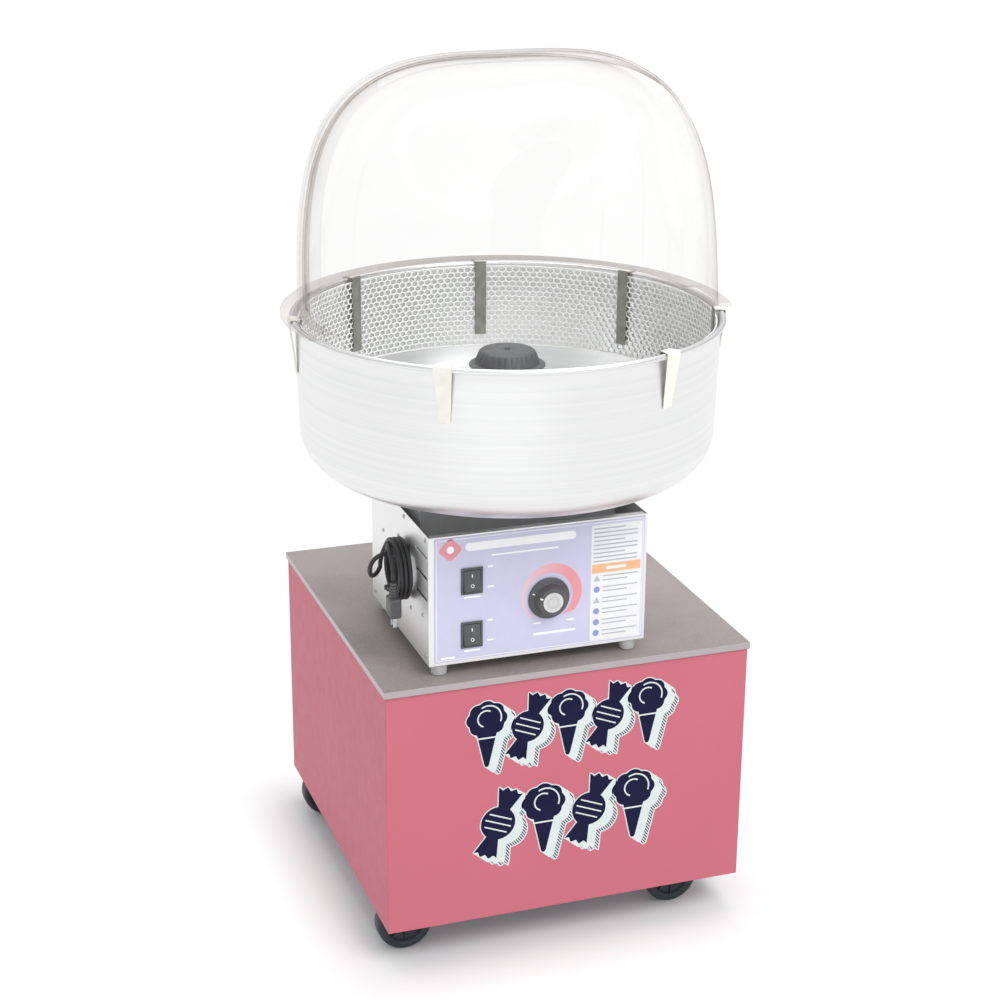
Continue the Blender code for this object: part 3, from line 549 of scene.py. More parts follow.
def coil_place(turned, start_x, start_r, whole):
    """Distance along X and radius of the coil's centre line, after that many degrees."""
    outer, mid, inner = COIL_ROWS_X
    rows = ((outer, COIL_OUTER_R), (mid, COIL_OUTER_R), (inner, COIL_OUTER_R),
            (inner, COIL_INNER_R), (mid, COIL_INNER_R), (outer, COIL_INNER_R))
    join = ease(turned / 60)
    if turned < 300:
        return start_x + (outer - start_x) * join, start_r + (COIL_OUTER_R - start_r) * join
    leaving = (turned - (whole - 150)) / 120
    if leaving > 0:
        swing = math.radians(90 * ease(leaving))
        clear = 0.0070 + 0.0060 * ease(leaving)
        return outer - clear * math.sin(swing), COIL_OUTER_R - clear * math.cos(swing)
    number = min(int((turned + 60) // 360), 5)
    change = ease((turned + 60 - 360 * number) / 60)
    before, after = rows[max(number - 1, 0)], rows[number]
    return tuple(b + (a - b) * change for b, a in zip(before, after))


def make_cord():
    route = cord_route()
    curve = bpy.data.curves.new("cord_flex", "CURVE")
    curve.dimensions = "3D"
    curve.bevel_depth = CORD_D / 2
    curve.bevel_resolution = 4
    curve.use_fill_caps = True
    spline = curve.splines.new("POLY")
    spline.points.add(len(route) - 1)
    for point, place in zip(spline.points, route):
        point.co = (*place, 1)
    spline.use_smooth = True
    flex = link(bpy.data.objects.new("cord_flex", curve))
    dress(flex, "machine", CORD_PVC, MACHINE, ("mains_cord", "cord_coil"))
    plug = make_plug()
    tie = make_tie()


def make_plug():
    """Moulded plug: ribbed strain relief, a tapered body with finger grips, and two blades."""
    bm = bmesh.new()
    relief = [(0.0045, 0.0)]
    for rib in range(5):
        low = -0.0040 - 0.0042 * rib
        wide = 0.0052 + 0.0005 * rib
        relief += [(wide, low + 0.0030), (wide, low + 0.0006), (wide - 0.0012, low),
                   (wide - 0.0012, low - 0.0006)]
    relief += [(0.0068, -0.0245), (0.0002, -0.0245), (0.0002, 0.0)]
    lathe(bm, relief, 28)
    block(bm, (-0.0088, -0.0143, -0.0540), (0.0088, 0.0143, -0.0225), 0.0030, 3)
    for side in (-1, 1):
        for row in range(4):
            z = -0.0300 - 0.0042 * row
            block(bm, (-0.0060, side * 0.0139, z), (0.0060, side * 0.0150, z + 0.0022), 0.0004, 1)
    body = piece("cord_plug", bm)
    place = MACHINE + Vector((PLUG_X, PLUG_Y, PLUG_TOP_Z))
    dress(body, "machine", BLACK, place, ("mains_plug",))
    bm = bmesh.new()
    for y in (-0.0064, 0.0064):
        block(bm, (-0.0031, y - 0.0008, -0.0708), (0.0031, y + 0.0008, -0.0535), 0.0005, 2)
    blades = piece("cord_plug_blades", bm)
    blades.data.materials.append(ZINC)
    blades.parent = body
    return body


def make_tie():
    """A flat tie round the coil's bundle, at the rear of the ring, with its lock."""
    bm = bmesh.new()
    half_x, half_r, thick = 0.0111, 0.0076, 0.0011
    middle_x = sum(COIL_ROWS_X) / 3
    middle_r = (COIL_OUTER_R + COIL_INNER_R) / 2
    outer = rounded((-half_x - thick, -half_r - thick), (half_x + thick, half_r + thick), 0.0038)
    inner = rounded((-half_x, -half_r), (half_x, half_r), 0.0030)
    hoop_shape(bm, outer, inner, -0.0018, 0.0018)
    block(bm, (-half_x - 0.0046, -0.0030, -0.0030), (-half_x - 0.0004, 0.0030, 0.0030), 0.0006, 2)
    tie = piece("cord_tie", bm)
    angle = math.radians(-62)
    turn = Matrix.Rotation(angle, 4, "X")
    spot = Vector((middle_x, COIL_Y + middle_r * math.cos(angle), COIL_Z + middle_r * math.sin(angle)))
    turn = turn @ Matrix.Rotation(math.radians(-90), 4, "X")
    tie.data.transform(Matrix.Translation(spot) @ turn)
    return dress(tie, "machine", BLACK, MACHINE)


def make_gland():
    """Hexagonal cable gland with a domed nut and a ribbed, tapered strain relief."""
    bm = bmesh.new()
    out = Matrix.Translation((WALL_X, COIL_Y, GLAND_Z)) @ Matrix.Rotation(math.radians(-90), 4, "Y")
    lathe(bm, [(0.0002, 0.0003), (0.0118, 0.0003), (0.0125, 0.0008), (0.0125, 0.0040), (0.0118, 0.0047),
               (0.0002, 0.0047)], 6, out)
    relief = [(0.0002, 0.0050), (0.0092, 0.0050), (0.0096, 0.0070), (0.0092, 0.0092)]
    for rib in range(5):
        start = 0.0100 + 0.0038 * rib
        wide = 0.0086 - 0.0007 * rib
        relief += [(wide - 0.0011, start), (wide, start + 0.0006), (wide, start + 0.0024),
                   (wide - 0.0011, start + 0.0030)]
    relief += [(0.0050, 0.0296), (0.0042, 0.0300), (0.0002, 0.0300)]
    lathe(bm, relief, 32, out)
    inside = Matrix.Translation((WALL_X + 0.0016, COIL_Y, GLAND_Z))
    inside = inside @ Matrix.Rotation(math.radians(90), 4, "Y")
    lathe(bm, [(0.0002, 0.0), (0.0118, 0.0), (0.0118, 0.0045), (0.0002, 0.0045)], 6, inside)
    gland = piece("cord_gland_body", bm)
    dress(gland, "machine", BLACK, MACHINE, ("cord_gland",))


# ---- pan, net, clips and bubble ------------------------------------------------------------------
def wall_radius(z):
    low = PAN_BOTTOM_Z + PAN_FILLET
    return PAN_WALL_R + PAN_FLARE * (z - low) / (PAN_TOP_Z - low)


def make_pan():
    """Spun bowl: rolled bead, flared wall, wide fillet, floor, and the collar round the head's hole."""
    bead = (PAN_R - BEAD_R, PAN_TOP_Z - BEAD_R)
    corner = (PAN_WALL_R - PAN_FILLET, PAN_BOTTOM_Z + PAN_FILLET)
    under = PAN_TOP_Z - 0.0100
    hole = PAN_HOLE_R
    profile = arc(bead, BEAD_R, 205, -105, 22)
    profile += [(wall_radius(under) + 0.0006, under + 0.0012), (wall_radius(under), under)]
    profile += [(wall_radius(z), z) for z in np.linspace(under - 0.02, corner[1] + 0.02, 6)]
    profile += arc(corner, PAN_FILLET, 0, -90, 20)
    profile += [(hole + 0.0015, PAN_BOTTOM_Z), (hole, PAN_BOTTOM_Z + 0.0015), (hole, PAN_BOTTOM_Z + 0.0120),
                (hole + PAN_T, PAN_BOTTOM_Z + 0.0120), (hole + PAN_T, PAN_BOTTOM_Z + PAN_T + 0.0015),
                (hole + PAN_T + 0.0015, PAN_BOTTOM_Z + PAN_T)]
    profile += arc(corner, PAN_FILLET - PAN_T, -90, 0, 20)
    profile += [(wall_radius(z) - PAN_T, z) for z in np.linspace(corner[1] + 0.02, PAN_TOP_Z - 0.016, 6)]
    bowl = turned_piece("pan_bowl", profile, 192, angle=50)
    dress(bowl, "pan", ALUMINIUM, MACHINE, ("floss_pan",))


def make_net():
    """Hexagonal plastic mesh standing against the wall, with a hoop along each edge."""
    columns = 172
    width = 2 * math.pi / columns
    rows = round((NET_TOP_Z - NET_LOW_Z) / 0.0086)
    step = (NET_TOP_Z - NET_LOW_Z - 0.002) / (rows + 1 / 3)
    tall = step * 4 / 3
    bm = bmesh.new()
    for row in range(rows):
        for column in range(columns):
            angle = (column + 0.5 * (row % 2)) * width
            z = NET_LOW_Z + 0.001 + tall / 2 + step * row
            corners = ((0, tall / 2), (-width / 2, tall / 4), (-width / 2, -tall / 4),
                       (0, -tall / 2), (width / 2, -tall / 4), (width / 2, tall / 4))
            bm.faces.new([bm.verts.new((NET_R * math.cos(angle + a), NET_R * math.sin(angle + a), z + up))
                          for a, up in corners])
    bmesh.ops.remove_doubles(bm, verts=bm.verts, dist=0.0003)
    cells = list(bm.faces)
    bmesh.ops.inset_individual(bm, faces=cells, thickness=0.0011, use_even_offset=True)
    bmesh.ops.delete(bm, geom=cells, context="FACES")
    net = piece("pan_net", bm)
    depth = net.modifiers.new("depth", "SOLIDIFY")
    depth.thickness = 0.0010
    depth.offset = 0
    dress(net, "pan", NET, MACHINE, ("floss_net",))
    bm = bmesh.new()
    for z in (NET_LOW_Z + 0.0010, NET_TOP_Z - 0.0010):
        lathe(bm, arc((NET_R, z), 0.0009, 0, 315, 8), 128)
    dress(piece("pan_net_hoops", bm), "pan", NET, MACHINE)


def make_clips():
    """Bent strips that hook over the bead: a cream outer leg, and an inner leg that holds the net, coloured
    dark grey as painted shade.
    """
    inner_x = NET_R - 0.0005 - 0.0018
    outer_x = PAN_R + 0.0014
    top = PAN_TOP_Z + 0.0013
    tip_z = PAN_TOP_Z - CLIP_OUTER_L
    path = [(inner_x, PAN_TOP_Z - CLIP_INNER_L), (inner_x, PAN_TOP_Z - 0.05), (inner_x, top - 0.0020)]
    path += arc((inner_x + 0.0014, top - 0.0014), 0.0014, 165, 95, 4)
    path += arc((outer_x - 0.0014, top - 0.0014), 0.0014, 85, 10, 4)
    path += [(outer_x, PAN_TOP_Z - 0.0060), (outer_x - 0.0003, PAN_TOP_Z - 0.0085),
             (wall_radius(tip_z) + 0.0018, tip_z + 0.004), (wall_radius(tip_z) + 0.0020, tip_z)]
    for number, angle in enumerate(CLIP_ANGLES, 1):
        bm = bmesh.new()
        strip(bm, path, [CLIP_INNER_W if x < PAN_R - BEAD_R else CLIP_OUTER_W for x, _ in path], CLIP_T)
        clip = piece(f"pan_clip_{number}", bm, 60)
        clip.data.transform(Matrix.Rotation(math.radians(angle), 4, "Z"))
        add_bevel(clip, 0.0005, 50)
        dress(clip, "pan", CREAM, MACHINE, (f"net_clip_{number}",))
        # Faces inside the net's radius take the inner leg's painted shade.
        clip.data.materials.append(CLIP_INNER)
        for face in clip.data.polygons:
            face.material_index = int(math.hypot(face.center.x, face.center.y) < NET_R)


def strip(bm, path, widths, thickness):
    """A strip of sheet that follows an (x, z) path, with its width at each point along Y."""
    rings = []
    for index, (x, z) in enumerate(path):
        before, after = path[max(index - 1, 0)], path[min(index + 1, len(path) - 1)]
        along = Vector((after[0] - before[0], after[1] - before[1])).normalized()
        side = Vector((-along.y, along.x)) * thickness / 2
        half = widths[index] / 2
        rings.append([bm.verts.new((x + sign * side.x, y, z + sign * side.y))
                      for sign, y in ((1, half), (1, -half), (-1, -half), (-1, half))])
    for ring, following in zip(rings, rings[1:]):
        for first, second in ((0, 1), (1, 2), (2, 3), (3, 0)):
            bm.faces.new((ring[first], ring[second], following[second], following[first]))
    bm.faces.new(rings[0])
    bm.faces.new(rings[-1])


def swell_vertex(vert, base):
    """Moves a point of the unit sphere to the shell: a superellipse whose power falls to the back."""
    across = math.hypot(vert.co.x, vert.co.y)
    up = max(vert.co.z, 0)
    rise = SHELL_TOP_Z - base
    if across < 0.00001:
        vert.co = (0, SHELL_Y, base + rise)
        return
    power = 3.4 - 1.3 * max(vert.co.y, 0) / across
    reach = (across ** power + up ** power) ** (-1 / power)
    vert.co = (SHELL_R * reach * vert.co.x, SHELL_Y + SHELL_DEPTH * reach * max(vert.co.y, 0),
               base + rise * reach * up)


def make_bubble():
    """Clear half bubble: a swelled quarter sphere with a wider collar, on its flat flange."""
    base = BUBBLE_LOW_Z + BUBBLE_T / 2
    bm = bmesh.new()
    bmesh.ops.create_uvsphere(bm, u_segments=96, v_segments=64, radius=1)
    unwanted = [vert for vert in bm.verts if vert.co.y < -0.001 or vert.co.z < -0.001]
    bmesh.ops.delete(bm, geom=unwanted, context="VERTS")
    for vert in bm.verts:
        swell_vertex(vert, base)
    arch = [edge for edge in bm.edges if all(abs(vert.co.y - SHELL_Y) < 0.00001 for vert in edge.verts)]
    half_w, top = SHELL_R, SHELL_TOP_Z
    for new_half_w, new_top, foot_y, top_y in COLLAR_ARCHES:
        grown = bmesh.ops.extrude_edge_only(bm, edges=arch)["geom"]
        arch = [part for part in grown if isinstance(part, bmesh.types.BMEdge)]
        for vert in (part for part in grown if isinstance(part, bmesh.types.BMVert)):
            up = (vert.co.z - base) / (top - base)
            vert.co = (vert.co.x * new_half_w / half_w, foot_y + (top_y - foot_y) * up,
                       base + (new_top - base) * up)
        half_w, top = new_half_w, new_top
    shell = piece("bubble_shell", bm, 60)
    thick = shell.modifiers.new("shell", "SOLIDIFY")
    thick.thickness = BUBBLE_T
    thick.offset = -1
    thick.use_even_offset = True
    cutter = bmesh.new()
    block(cutter, (-0.4, -0.4, BUBBLE_LOW_Z - 0.02), (0.4, 0.4, base + 0.0005))
    trim = piece("bubble_trim", cutter)
    ring_top = BUBBLE_LOW_Z + BUBBLE_T
    ring = turned_piece("bubble_ring", [(BUBBLE_FLANGE_R, ring_top), (BUBBLE_FLANGE_R, BUBBLE_LOW_Z),
                                        (FLANGE_IN_R, BUBBLE_LOW_Z), (FLANGE_IN_R, ring_top)], 128)
    cutter = bmesh.new()
    block(cutter, (-0.4, -0.4, BUBBLE_LOW_Z - 0.02), (0.4, FLANGE_FRONT_Y, ring_top + 0.02))
    ring_cut = piece("bubble_ring_cut", cutter)
    for target, other, operation in ((ring, ring_cut, "DIFFERENCE"), (shell, trim, "DIFFERENCE"),
                                     (shell, ring, "UNION")):
        mod = target.modifiers.new(operation.lower(), "BOOLEAN")
        mod.operation = operation
        mod.solver = "EXACT"
        mod.object = other
    add_bevel(shell, 0.0011, 30)
    evaluated = shell.evaluated_get(bpy.context.evaluated_depsgraph_get())
    shell.data = bpy.data.meshes.new_from_object(evaluated)
    shell.modifiers.clear()
    for other in (trim, ring, ring_cut):
        bpy.data.objects.remove(other)
    shell.data.shade_smooth()
    shell.data.set_sharp_from_angle(angle=math.radians(40))
    dress(shell, "bubble", CLEAR, MACHINE, ("bubble",))


# ---- floss head, knob, switches, wheels and feet -------------------------------------------------
def make_head_cap():
    """Domed cap with shallow radial flutes round its slope and a socket screw in the middle."""
    low, top, rim = CAP_LOW_Z, CAP_TOP_Z, CAP_R
    profile = [(0.0002, top), (0.0300, top), (0.0360, top - 0.0003), (0.0400, top - 0.0012),
               (0.0430, top - 0.0034), (0.0450, top - 0.0070), (0.0478, top - 0.0140), (0.0500, low + 0.0052),
               (0.0540, low + 0.0040), (rim - 0.0010, low + 0.0034), (rim, low + 0.0026), (rim, low + 0.0008),
               (rim - 0.0006, low), (0.0002, low)]

    def fluted(radius, height, angle):
        on_slope = low + 0.006 < height < top - 0.003
        return radius - (0.0009 * max(math.cos(28 * angle), 0) if on_slope else 0)

    cap = turned_piece("head_cap_fluted", profile, 224, radius_at=fluted, angle=40)
    dress(cap, "floss_head", BLACK, MACHINE, ("head_cap",))
    face = top - 0.00005
    socket = [(0.0026, top - 0.0020), (0.0026, face), (0.0046, face), (0.0046, top - 0.0010),
              (0.0050, top - 0.0010), (0.0050, top - 0.0020)]
    screw = turned_piece("head_cap_screw", socket, 24)
    dress(screw, "floss_head", ZINC, MACHINE + Vector((0, 0, 0.00005)))


def make_knob():
    """Fluted black knob with a flared skirt, a turned metal insert and a white pointer."""
    face = KNOB_BOX[1].y - MACHINE.y
    centre = Vector((KNOB_X, OVERLAY_Y - 0.0003, KNOB_Z))
    stand = Matrix.Rotation(math.radians(90), 4, "X")
    skirt_r = (KNOB_BOX[1].x - KNOB_BOX[0].x) / 2
    tail = -(face - centre.y)
    profile = [(0.0168, 0.0206), (0.0178, 0.0210), (0.0212, 0.0206), (0.0224, 0.0196), (0.0232, 0.0170),
               (0.0240, 0.0080), (0.0252, 0.0058), (0.0290, 0.0046), (skirt_r - 0.0006, 0.0036),
               (skirt_r, 0.0028), (skirt_r, 0.0006), (0.0030, 0.0003), (0.0030, tail), (0.0002, tail),
               (0.0002, 0.0196), (0.0166, 0.0196)]

    def fluted(radius, height, angle):
        on_grip = 0.0070 < height < 0.0200 and radius > 0.02
        return radius - (0.0007 * (1 - abs(math.cos(15 * angle))) if on_grip else 0)

    knob = turned_piece("heat_knob_body", profile, 240, stand, fluted, 40)
    dress(knob, "heat_knob", BLACK, MACHINE + centre, ("heat_knob",))
    disc = [(0.0002, 0.0213), (0.0150, 0.0214), (0.0160, 0.0211), (0.0164, 0.0205), (0.0164, 0.0198),
            (0.0002, 0.0198)]
    insert = turned_piece("heat_knob_insert", disc, 96)
    insert.rotation_euler.x = math.radians(90)
    dress(insert, "heat_knob", INSERT, MACHINE + centre)
    bm = bmesh.new()
    block(bm, (-0.0011, -0.0214, 0.0178), (0.0011, -0.0206, 0.0226), 0.0002, 1)
    block(bm, (-0.0009, -0.0056, 0.0262), (0.0009, -0.0046, 0.0300), 0.0002, 1)
    mark = piece("heat_knob_pointer", bm)
    mark.rotation_euler.y = math.radians(-68)
    dress(mark, "heat_knob", WHITE_INK, MACHINE + centre)


def make_rocker_marks():
    """A bar at the top of each rocker and a ring at its foot, as on any on-off switch."""
    for body, z in (("power_rocker", SWITCH_Z[0]), ("heat_rocker", SWITCH_Z[1])):
        bm = bmesh.new()
        block(bm, (-0.0007, -0.0001, 0.0052), (0.0007, 0.0, 0.0102))
        middle = (0, -0.0078)
        hoop_shape(bm, arc(middle, 0.0028, 0, 345, 24), arc(middle, 0.0019, 0, 345, 24), 0.0, -0.0001)
        for vert in bm.verts:
            vert.co.y -= ROCKER_DIP + ROCKER_RISE * abs(vert.co.z) / ROCKER_REACH
        bmesh.ops.transform(bm, matrix=Matrix.Rotation(-ROCKER_TILT, 4, "X"), verts=bm.verts)
        place = MACHINE + Vector((SWITCH_X, OVERLAY_Y + 0.0002, z))
        dress(piece(body + "_marks", bm), body, WHITE_INK, place)


def make_wheels():
    """Caster wheels: a crowned tread, a recessed web with eight pockets, and a hub boss with an axle nut."""
    for corner in CORNERS:
        low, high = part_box("caster_wheel_" + corner)
        centre = (low + high) / 2
        radius, half = (high.z - low.z) / 2, (high.y - low.y) / 2 - 0.001
        edge = [(radius - 0.0048, half), (radius - 0.0022, half - 0.0008), (radius - 0.0006, half - 0.0032),
                (radius, half - 0.0065), (radius, 0.0)]
        hub = [(0.0330, half), (0.0315, half - 0.0012), (0.0290, half - 0.0045), (0.0140, half - 0.0050),
               (0.0115, half - 0.0010), (0.0105, half + 0.0008), (0.0043, half + 0.0008)]
        upper = list(reversed(hub)) + edge
        profile = upper + [(r, -h) for r, h in reversed(upper[:-1])]
        bm = bmesh.new()
        stand = Matrix.Rotation(math.radians(90), 4, "X")
        lathe(bm, profile, 96, stand)
        for side in (-1, 1):
            for rib in range(8):
                spoke = Matrix.Rotation(math.radians(45 * rib), 4, "Y")
                y = side * (half - 0.0036)
                block(bm, (-0.0011, y - 0.0022, 0.0122), (0.0011, y + 0.0022, 0.0308), 0.0004, 1, spoke)
        wheel = piece("caster_tread_" + corner, bm, 40)
        dress(wheel, "caster_wheel_" + corner, TYRE, centre, ("caster_wheel_" + corner,))
        fork_low, fork_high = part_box("caster_fork_" + corner)
        bm = bmesh.new()
        nut = [(0.0002, 0.0), (0.0062, 0.0), (0.0068, 0.0006), (0.0068, 0.0034), (0.0058, 0.0042),
               (0.0002, 0.0046)]
        reach = (fork_high.y - fork_low.y) / 2 - 0.0026
        for side in (-1, 1):
            outwards = Matrix.Rotation(math.radians(-90 * side), 4, "X")
            lathe(bm, nut, 6, Matrix.Translation((0, side * reach, 0)) @ outwards)
        nuts = piece("caster_nuts_" + corner, bm)
        dress(nuts, "caster_fork_" + corner, ZINC, centre)


def make_feet():
    for corner in CORNERS:
        low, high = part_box("foot_" + corner)
        height, wide = high.z - low.z, (high.x - low.x) / 2
        narrow = 0.0110
        profile = [(0.0002, height), (wide, height), (wide, height - 0.0010), (narrow + 0.0012, 0.0035),
                   (narrow + 0.0006, 0.0012), (narrow - 0.0010, 0.0), (0.0040, 0.0), (0.0034, 0.0020),
                   (0.0002, 0.0020)]
        foot = turned_piece("cabinet_foot_" + corner, profile, 48)
        at = Vector(((low.x + high.x) / 2, (low.y + high.y) / 2, low.z))
        dress(foot, "machine", FOOT_GREY, at, ("foot_" + corner,))


# ---- screws --------------------------------------------------------------------------------------
def make_screws(name, body, places, facing, radius=0.0034):
    """Pan-head screws at points on a face that looks along the given direction; each cross slot is painted
    shade, a black cross standing for the shaded groove.
    """
    turn = Vector((0, 0, 1)).rotation_difference(Vector(facing)).to_matrix().to_4x4()
    heads, slot_shades = bmesh.new(), bmesh.new()
    high = radius * 0.55
    profile = [(0.0001, high), (radius * 0.45, high * 0.96), (radius * 0.80, high * 0.72),
               (radius * 0.98, high * 0.35), (radius, 0.00005), (0.0001, 0.00005)]
    for index, place in enumerate(places):
        at = Matrix.Translation(Vector(place)) @ turn @ Matrix.Rotation(0.7 * index, 4, "Z")
        lathe(heads, profile, 20, at)
        # Each cross slot is a black bar set through the head and standing slightly proud of it: painted shade
        # where a real slot is a shaded groove.
        for long_x, long_y in ((0.62, 0.10), (0.10, 0.62)):
            block(slot_shades, (-radius * long_x, -radius * long_y, high * 0.60),
                  (radius * long_x, radius * long_y, high * 1.015), place=at)
    screws = piece(name, heads)
    dress(screws, body, ZINC, (0, 0, 0))
    # Black slot bars: painted shade of the cross slots.
    dark = piece(name + "_slot_shade", slot_shades)
    dress(dark, body, BLACK, (0, 0, 0))


def make_all_screws():
    """Screws of the cabinet's panels, bolts of the casters, and screws of the door's hinges."""
    for name, x in (("cabinet_left_screws", WALL_X), ("cabinet_right_screws", -WALL_X)):
        spots = [MACHINE + Vector((x, y, z)) for y, z in SIDE_SCREWS]
        make_screws(name, "machine", spots, (math.copysign(1, x), 0, 0))
    spots = [MACHINE + Vector((x, CAB_BACK_Y, z)) for x in (-0.163, 0, 0.163) for z in (0.508, 0.695)]
    make_screws("cabinet_rear_screws", "machine", spots, (0, 1, 0))
    for corner in CORNERS:
        low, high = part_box("caster_plate_" + corner)
        plate = (low + high) / 2
        plate.z = high.z - 0.0025
        bolts = [plate + Vector((x, y, 0)) for x in (-0.023, 0.023) for y in (-0.023, 0.023)]
        make_screws("caster_bolts_" + corner, "cart", bolts, (0, 0, -1), 0.0042)
    for end in ("lower", "upper"):
        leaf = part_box("door_hinge_" + end)[0] + Vector((0.0205, 0.0025, 0))
        spots = [leaf + Vector((0, 0, z)) for z in (0.012, 0.030, 0.048)]
        make_screws(f"hinge_{end}_screws", "cart", spots, (0, 1, 0), 0.0032)


# ---- printed front -------------------------------------------------------------------------------
def print_on_overlay(name, look, outlines, layer=1, hoops=()):
    """Thin printed shapes on the front overlay, in the machine frame's x and z."""
    back = OVERLAY_Y - PRINT_T * (layer - 1) - 0.00002
    bm = bmesh.new()
    for outline in outlines:
        sheet_shape(bm, outline, back, back - PRINT_T)
    for outer, inner in hoops:
        hoop_shape(bm, outer, inner, back, back - PRINT_T)
    dress(piece(name, bm), "machine", look, MACHINE)


def bar(x0, x1, z, height):
    return rounded((x0, z - height / 2), (x1, z + height / 2), height * 0.42, 4)


def make_front_print():
    low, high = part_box("control_overlay")
    low, high = low - MACHINE, high - MACHINE
    edge = 0.0022
    frame_outer = rounded((low.x + edge, low.z + edge), (high.x - edge, high.z - edge), 0.004)
    frame_inner = rounded((low.x + edge + 0.0009, low.z + edge + 0.0009),
                          (high.x - edge - 0.0009, high.z - edge - 0.0009), 0.0034)
    white = [bar(-0.118, 0.058, 0.6850, 0.0130), bar(-0.077, 0.030, 0.6680, 0.0028),
             bar(-0.0090, 0.0040, 0.5478, 0.0026), bar(0.0440, 0.0570, 0.5472, 0.0026),
             bar(-0.0090, 0.0600, 0.5300, 0.0036), bar(-0.157, -0.134, 0.5095, 0.0030)]
    for z in SWITCH_Z:
        white += [bar(SWITCH_X + 0.0250, SWITCH_X + 0.0335, z + 0.0195, 0.0026),
                  bar(SWITCH_X + 0.0250, SWITCH_X + 0.0350, z - 0.0130, 0.0026),
                  bar(SWITCH_X - 0.0120, SWITCH_X + 0.0140, z - 0.0265, 0.0030)]
    print_on_overlay("overlay_white_print", WHITE_INK, white, 1, [(frame_outer, frame_inner)])

    badge = []
    for x, z, turn in ((1, 0, 0), (0, 1, 90), (-1, 0, 180), (0, -1, 270)):
        corner = (BADGE_X + 0.0105 * x, BADGE_Z + 0.0105 * z)
        badge += arc(corner, 0.0068, turn - 62, turn + 62, 7)
    print_on_overlay("overlay_badge_print", BADGE_INK, [badge])
    dot = arc((BADGE_X, BADGE_Z), 0.0058, 0, 345, 24)
    print_on_overlay("overlay_badge_dot", WHITE_INK, [dot], 2)

    outer = arc((0.0205, 0.5940), 0.0485, 234, -41, 48)
    inner = arc((0.0155, 0.5893), 0.0386, -58, 229, 48)
    print_on_overlay("overlay_scale_print", SCALE_INK, [outer + inner])

    label = rounded((0.0835, 0.5065), (0.1665, 0.6955), 0.0020)
    print_on_overlay("overlay_label_print", LABEL_FILM, [label])
    band = rounded((0.0850, 0.6175), (0.1650, 0.6320), 0.0008)
    print_on_overlay("overlay_band_print", ORANGE_INK, [band], 2)
    lines, discs = [], []
    for row in range(9):
        lines.append(bar(0.0870, 0.1590 if row % 3 else 0.1390, 0.6895 - 0.0066 * row, 0.0022))
    for row in range(6):
        z = 0.6085 - 0.0180 * row
        if row in (0, 2):
            lines.append(arc((0.0935, z - 0.0010), 0.0064, 90, 330, 3))
        else:
            discs.append(arc((0.0935, z), 0.0052, 90, 90 + 345, 24))
        lines += [bar(0.1030, 0.1610, z + 0.0033, 0.0020), bar(0.1030, 0.1440, z - 0.0033, 0.0020)]
    print_on_overlay("overlay_line_print", GREY_INK, lines, 2)
    print_on_overlay("overlay_disc_print", BLUE_INK, discs, 2)
    heading = [bar(0.1080, 0.1420, 0.6248, 0.0048)]
    print_on_overlay("overlay_heading_print", LABEL_FILM, heading, 3)


# ---- decal on the cart ---------------------------------------------------------------------------
def outer_outline(shapes, centre, count=216):
    """The outline round several overlapping shapes together, seen from a point inside them all."""
    edges = np.array([pair for shape in shapes for pair in around(shape)])
    start = edges[:, 0] - centre
    along = edges[:, 1] - edges[:, 0]
    outline = []
    for angle in np.linspace(0, 2 * np.pi, count, endpoint=False):
        ray = np.array((math.cos(angle), math.sin(angle)))
        cross = ray[0] * along[:, 1] - ray[1] * along[:, 0]
        cross[np.abs(cross) < 1e-12] = 1e-12
        far = (start[:, 0] * along[:, 1] - start[:, 1] * along[:, 0]) / cross
        where = (start[:, 0] * ray[1] - start[:, 1] * ray[0]) / cross
        hits = far[(where >= -1e-9) & (where <= 1 + 1e-9) & (far > 0)]
        outline.append(tuple(centre + ray * hits.max()))
    return outline


def floss_shape():
    """Candy floss on a paper cone: a scalloped puff and a long point."""
    puff = []
    for angle in np.radians(np.arange(0, 360, 4)):
        reach = 0.0285 + 0.0032 * abs(math.cos(4 * angle))
        puff.append((reach * math.cos(angle), 0.021 + 0.92 * reach * math.sin(angle)))
    cone = [(-0.0185, 0.012), (0.0185, 0.012), (0.0030, -0.0560), (-0.0030, -0.0560)]
    return outer_outline([puff, cone], np.array((0.0, 0.010)))


def sweet_shape():
    """A wrapped sweet: a round middle with a pleated fan at each end."""
    ball = arc((0, 0), 0.0250, 0, 355, 60)
    fans = []
    for end in (math.degrees(SWEET_TILT), math.degrees(SWEET_TILT) + 180):
        fan = [(0, 0)]
        for step in range(7):
            angle = math.radians(end - 21 + 7 * step)
            reach = 0.0550 if step % 2 == 0 else 0.0495
            fan.append((reach * math.cos(angle), reach * math.sin(angle)))
        fans.append(fan)
    return outer_outline([ball, *fans], np.array((0.001, 0.001)))


def swept(outline, shift, margin):
    """The outline that covers the shape all the way to its shifted copy, with a margin all round."""
    points = np.array(outline)
    reach = [np.array(shift) * t for t in np.linspace(0, 1, 4)]
    grow = [np.array(step) for step in arc((0, 0), margin, 0, 315, 8)] if margin else [0]
    copies = [(points + move + step).tolist() for move in reach for step in grow]
    return outer_outline(copies, points.mean(0) + np.array(shift) / 2)


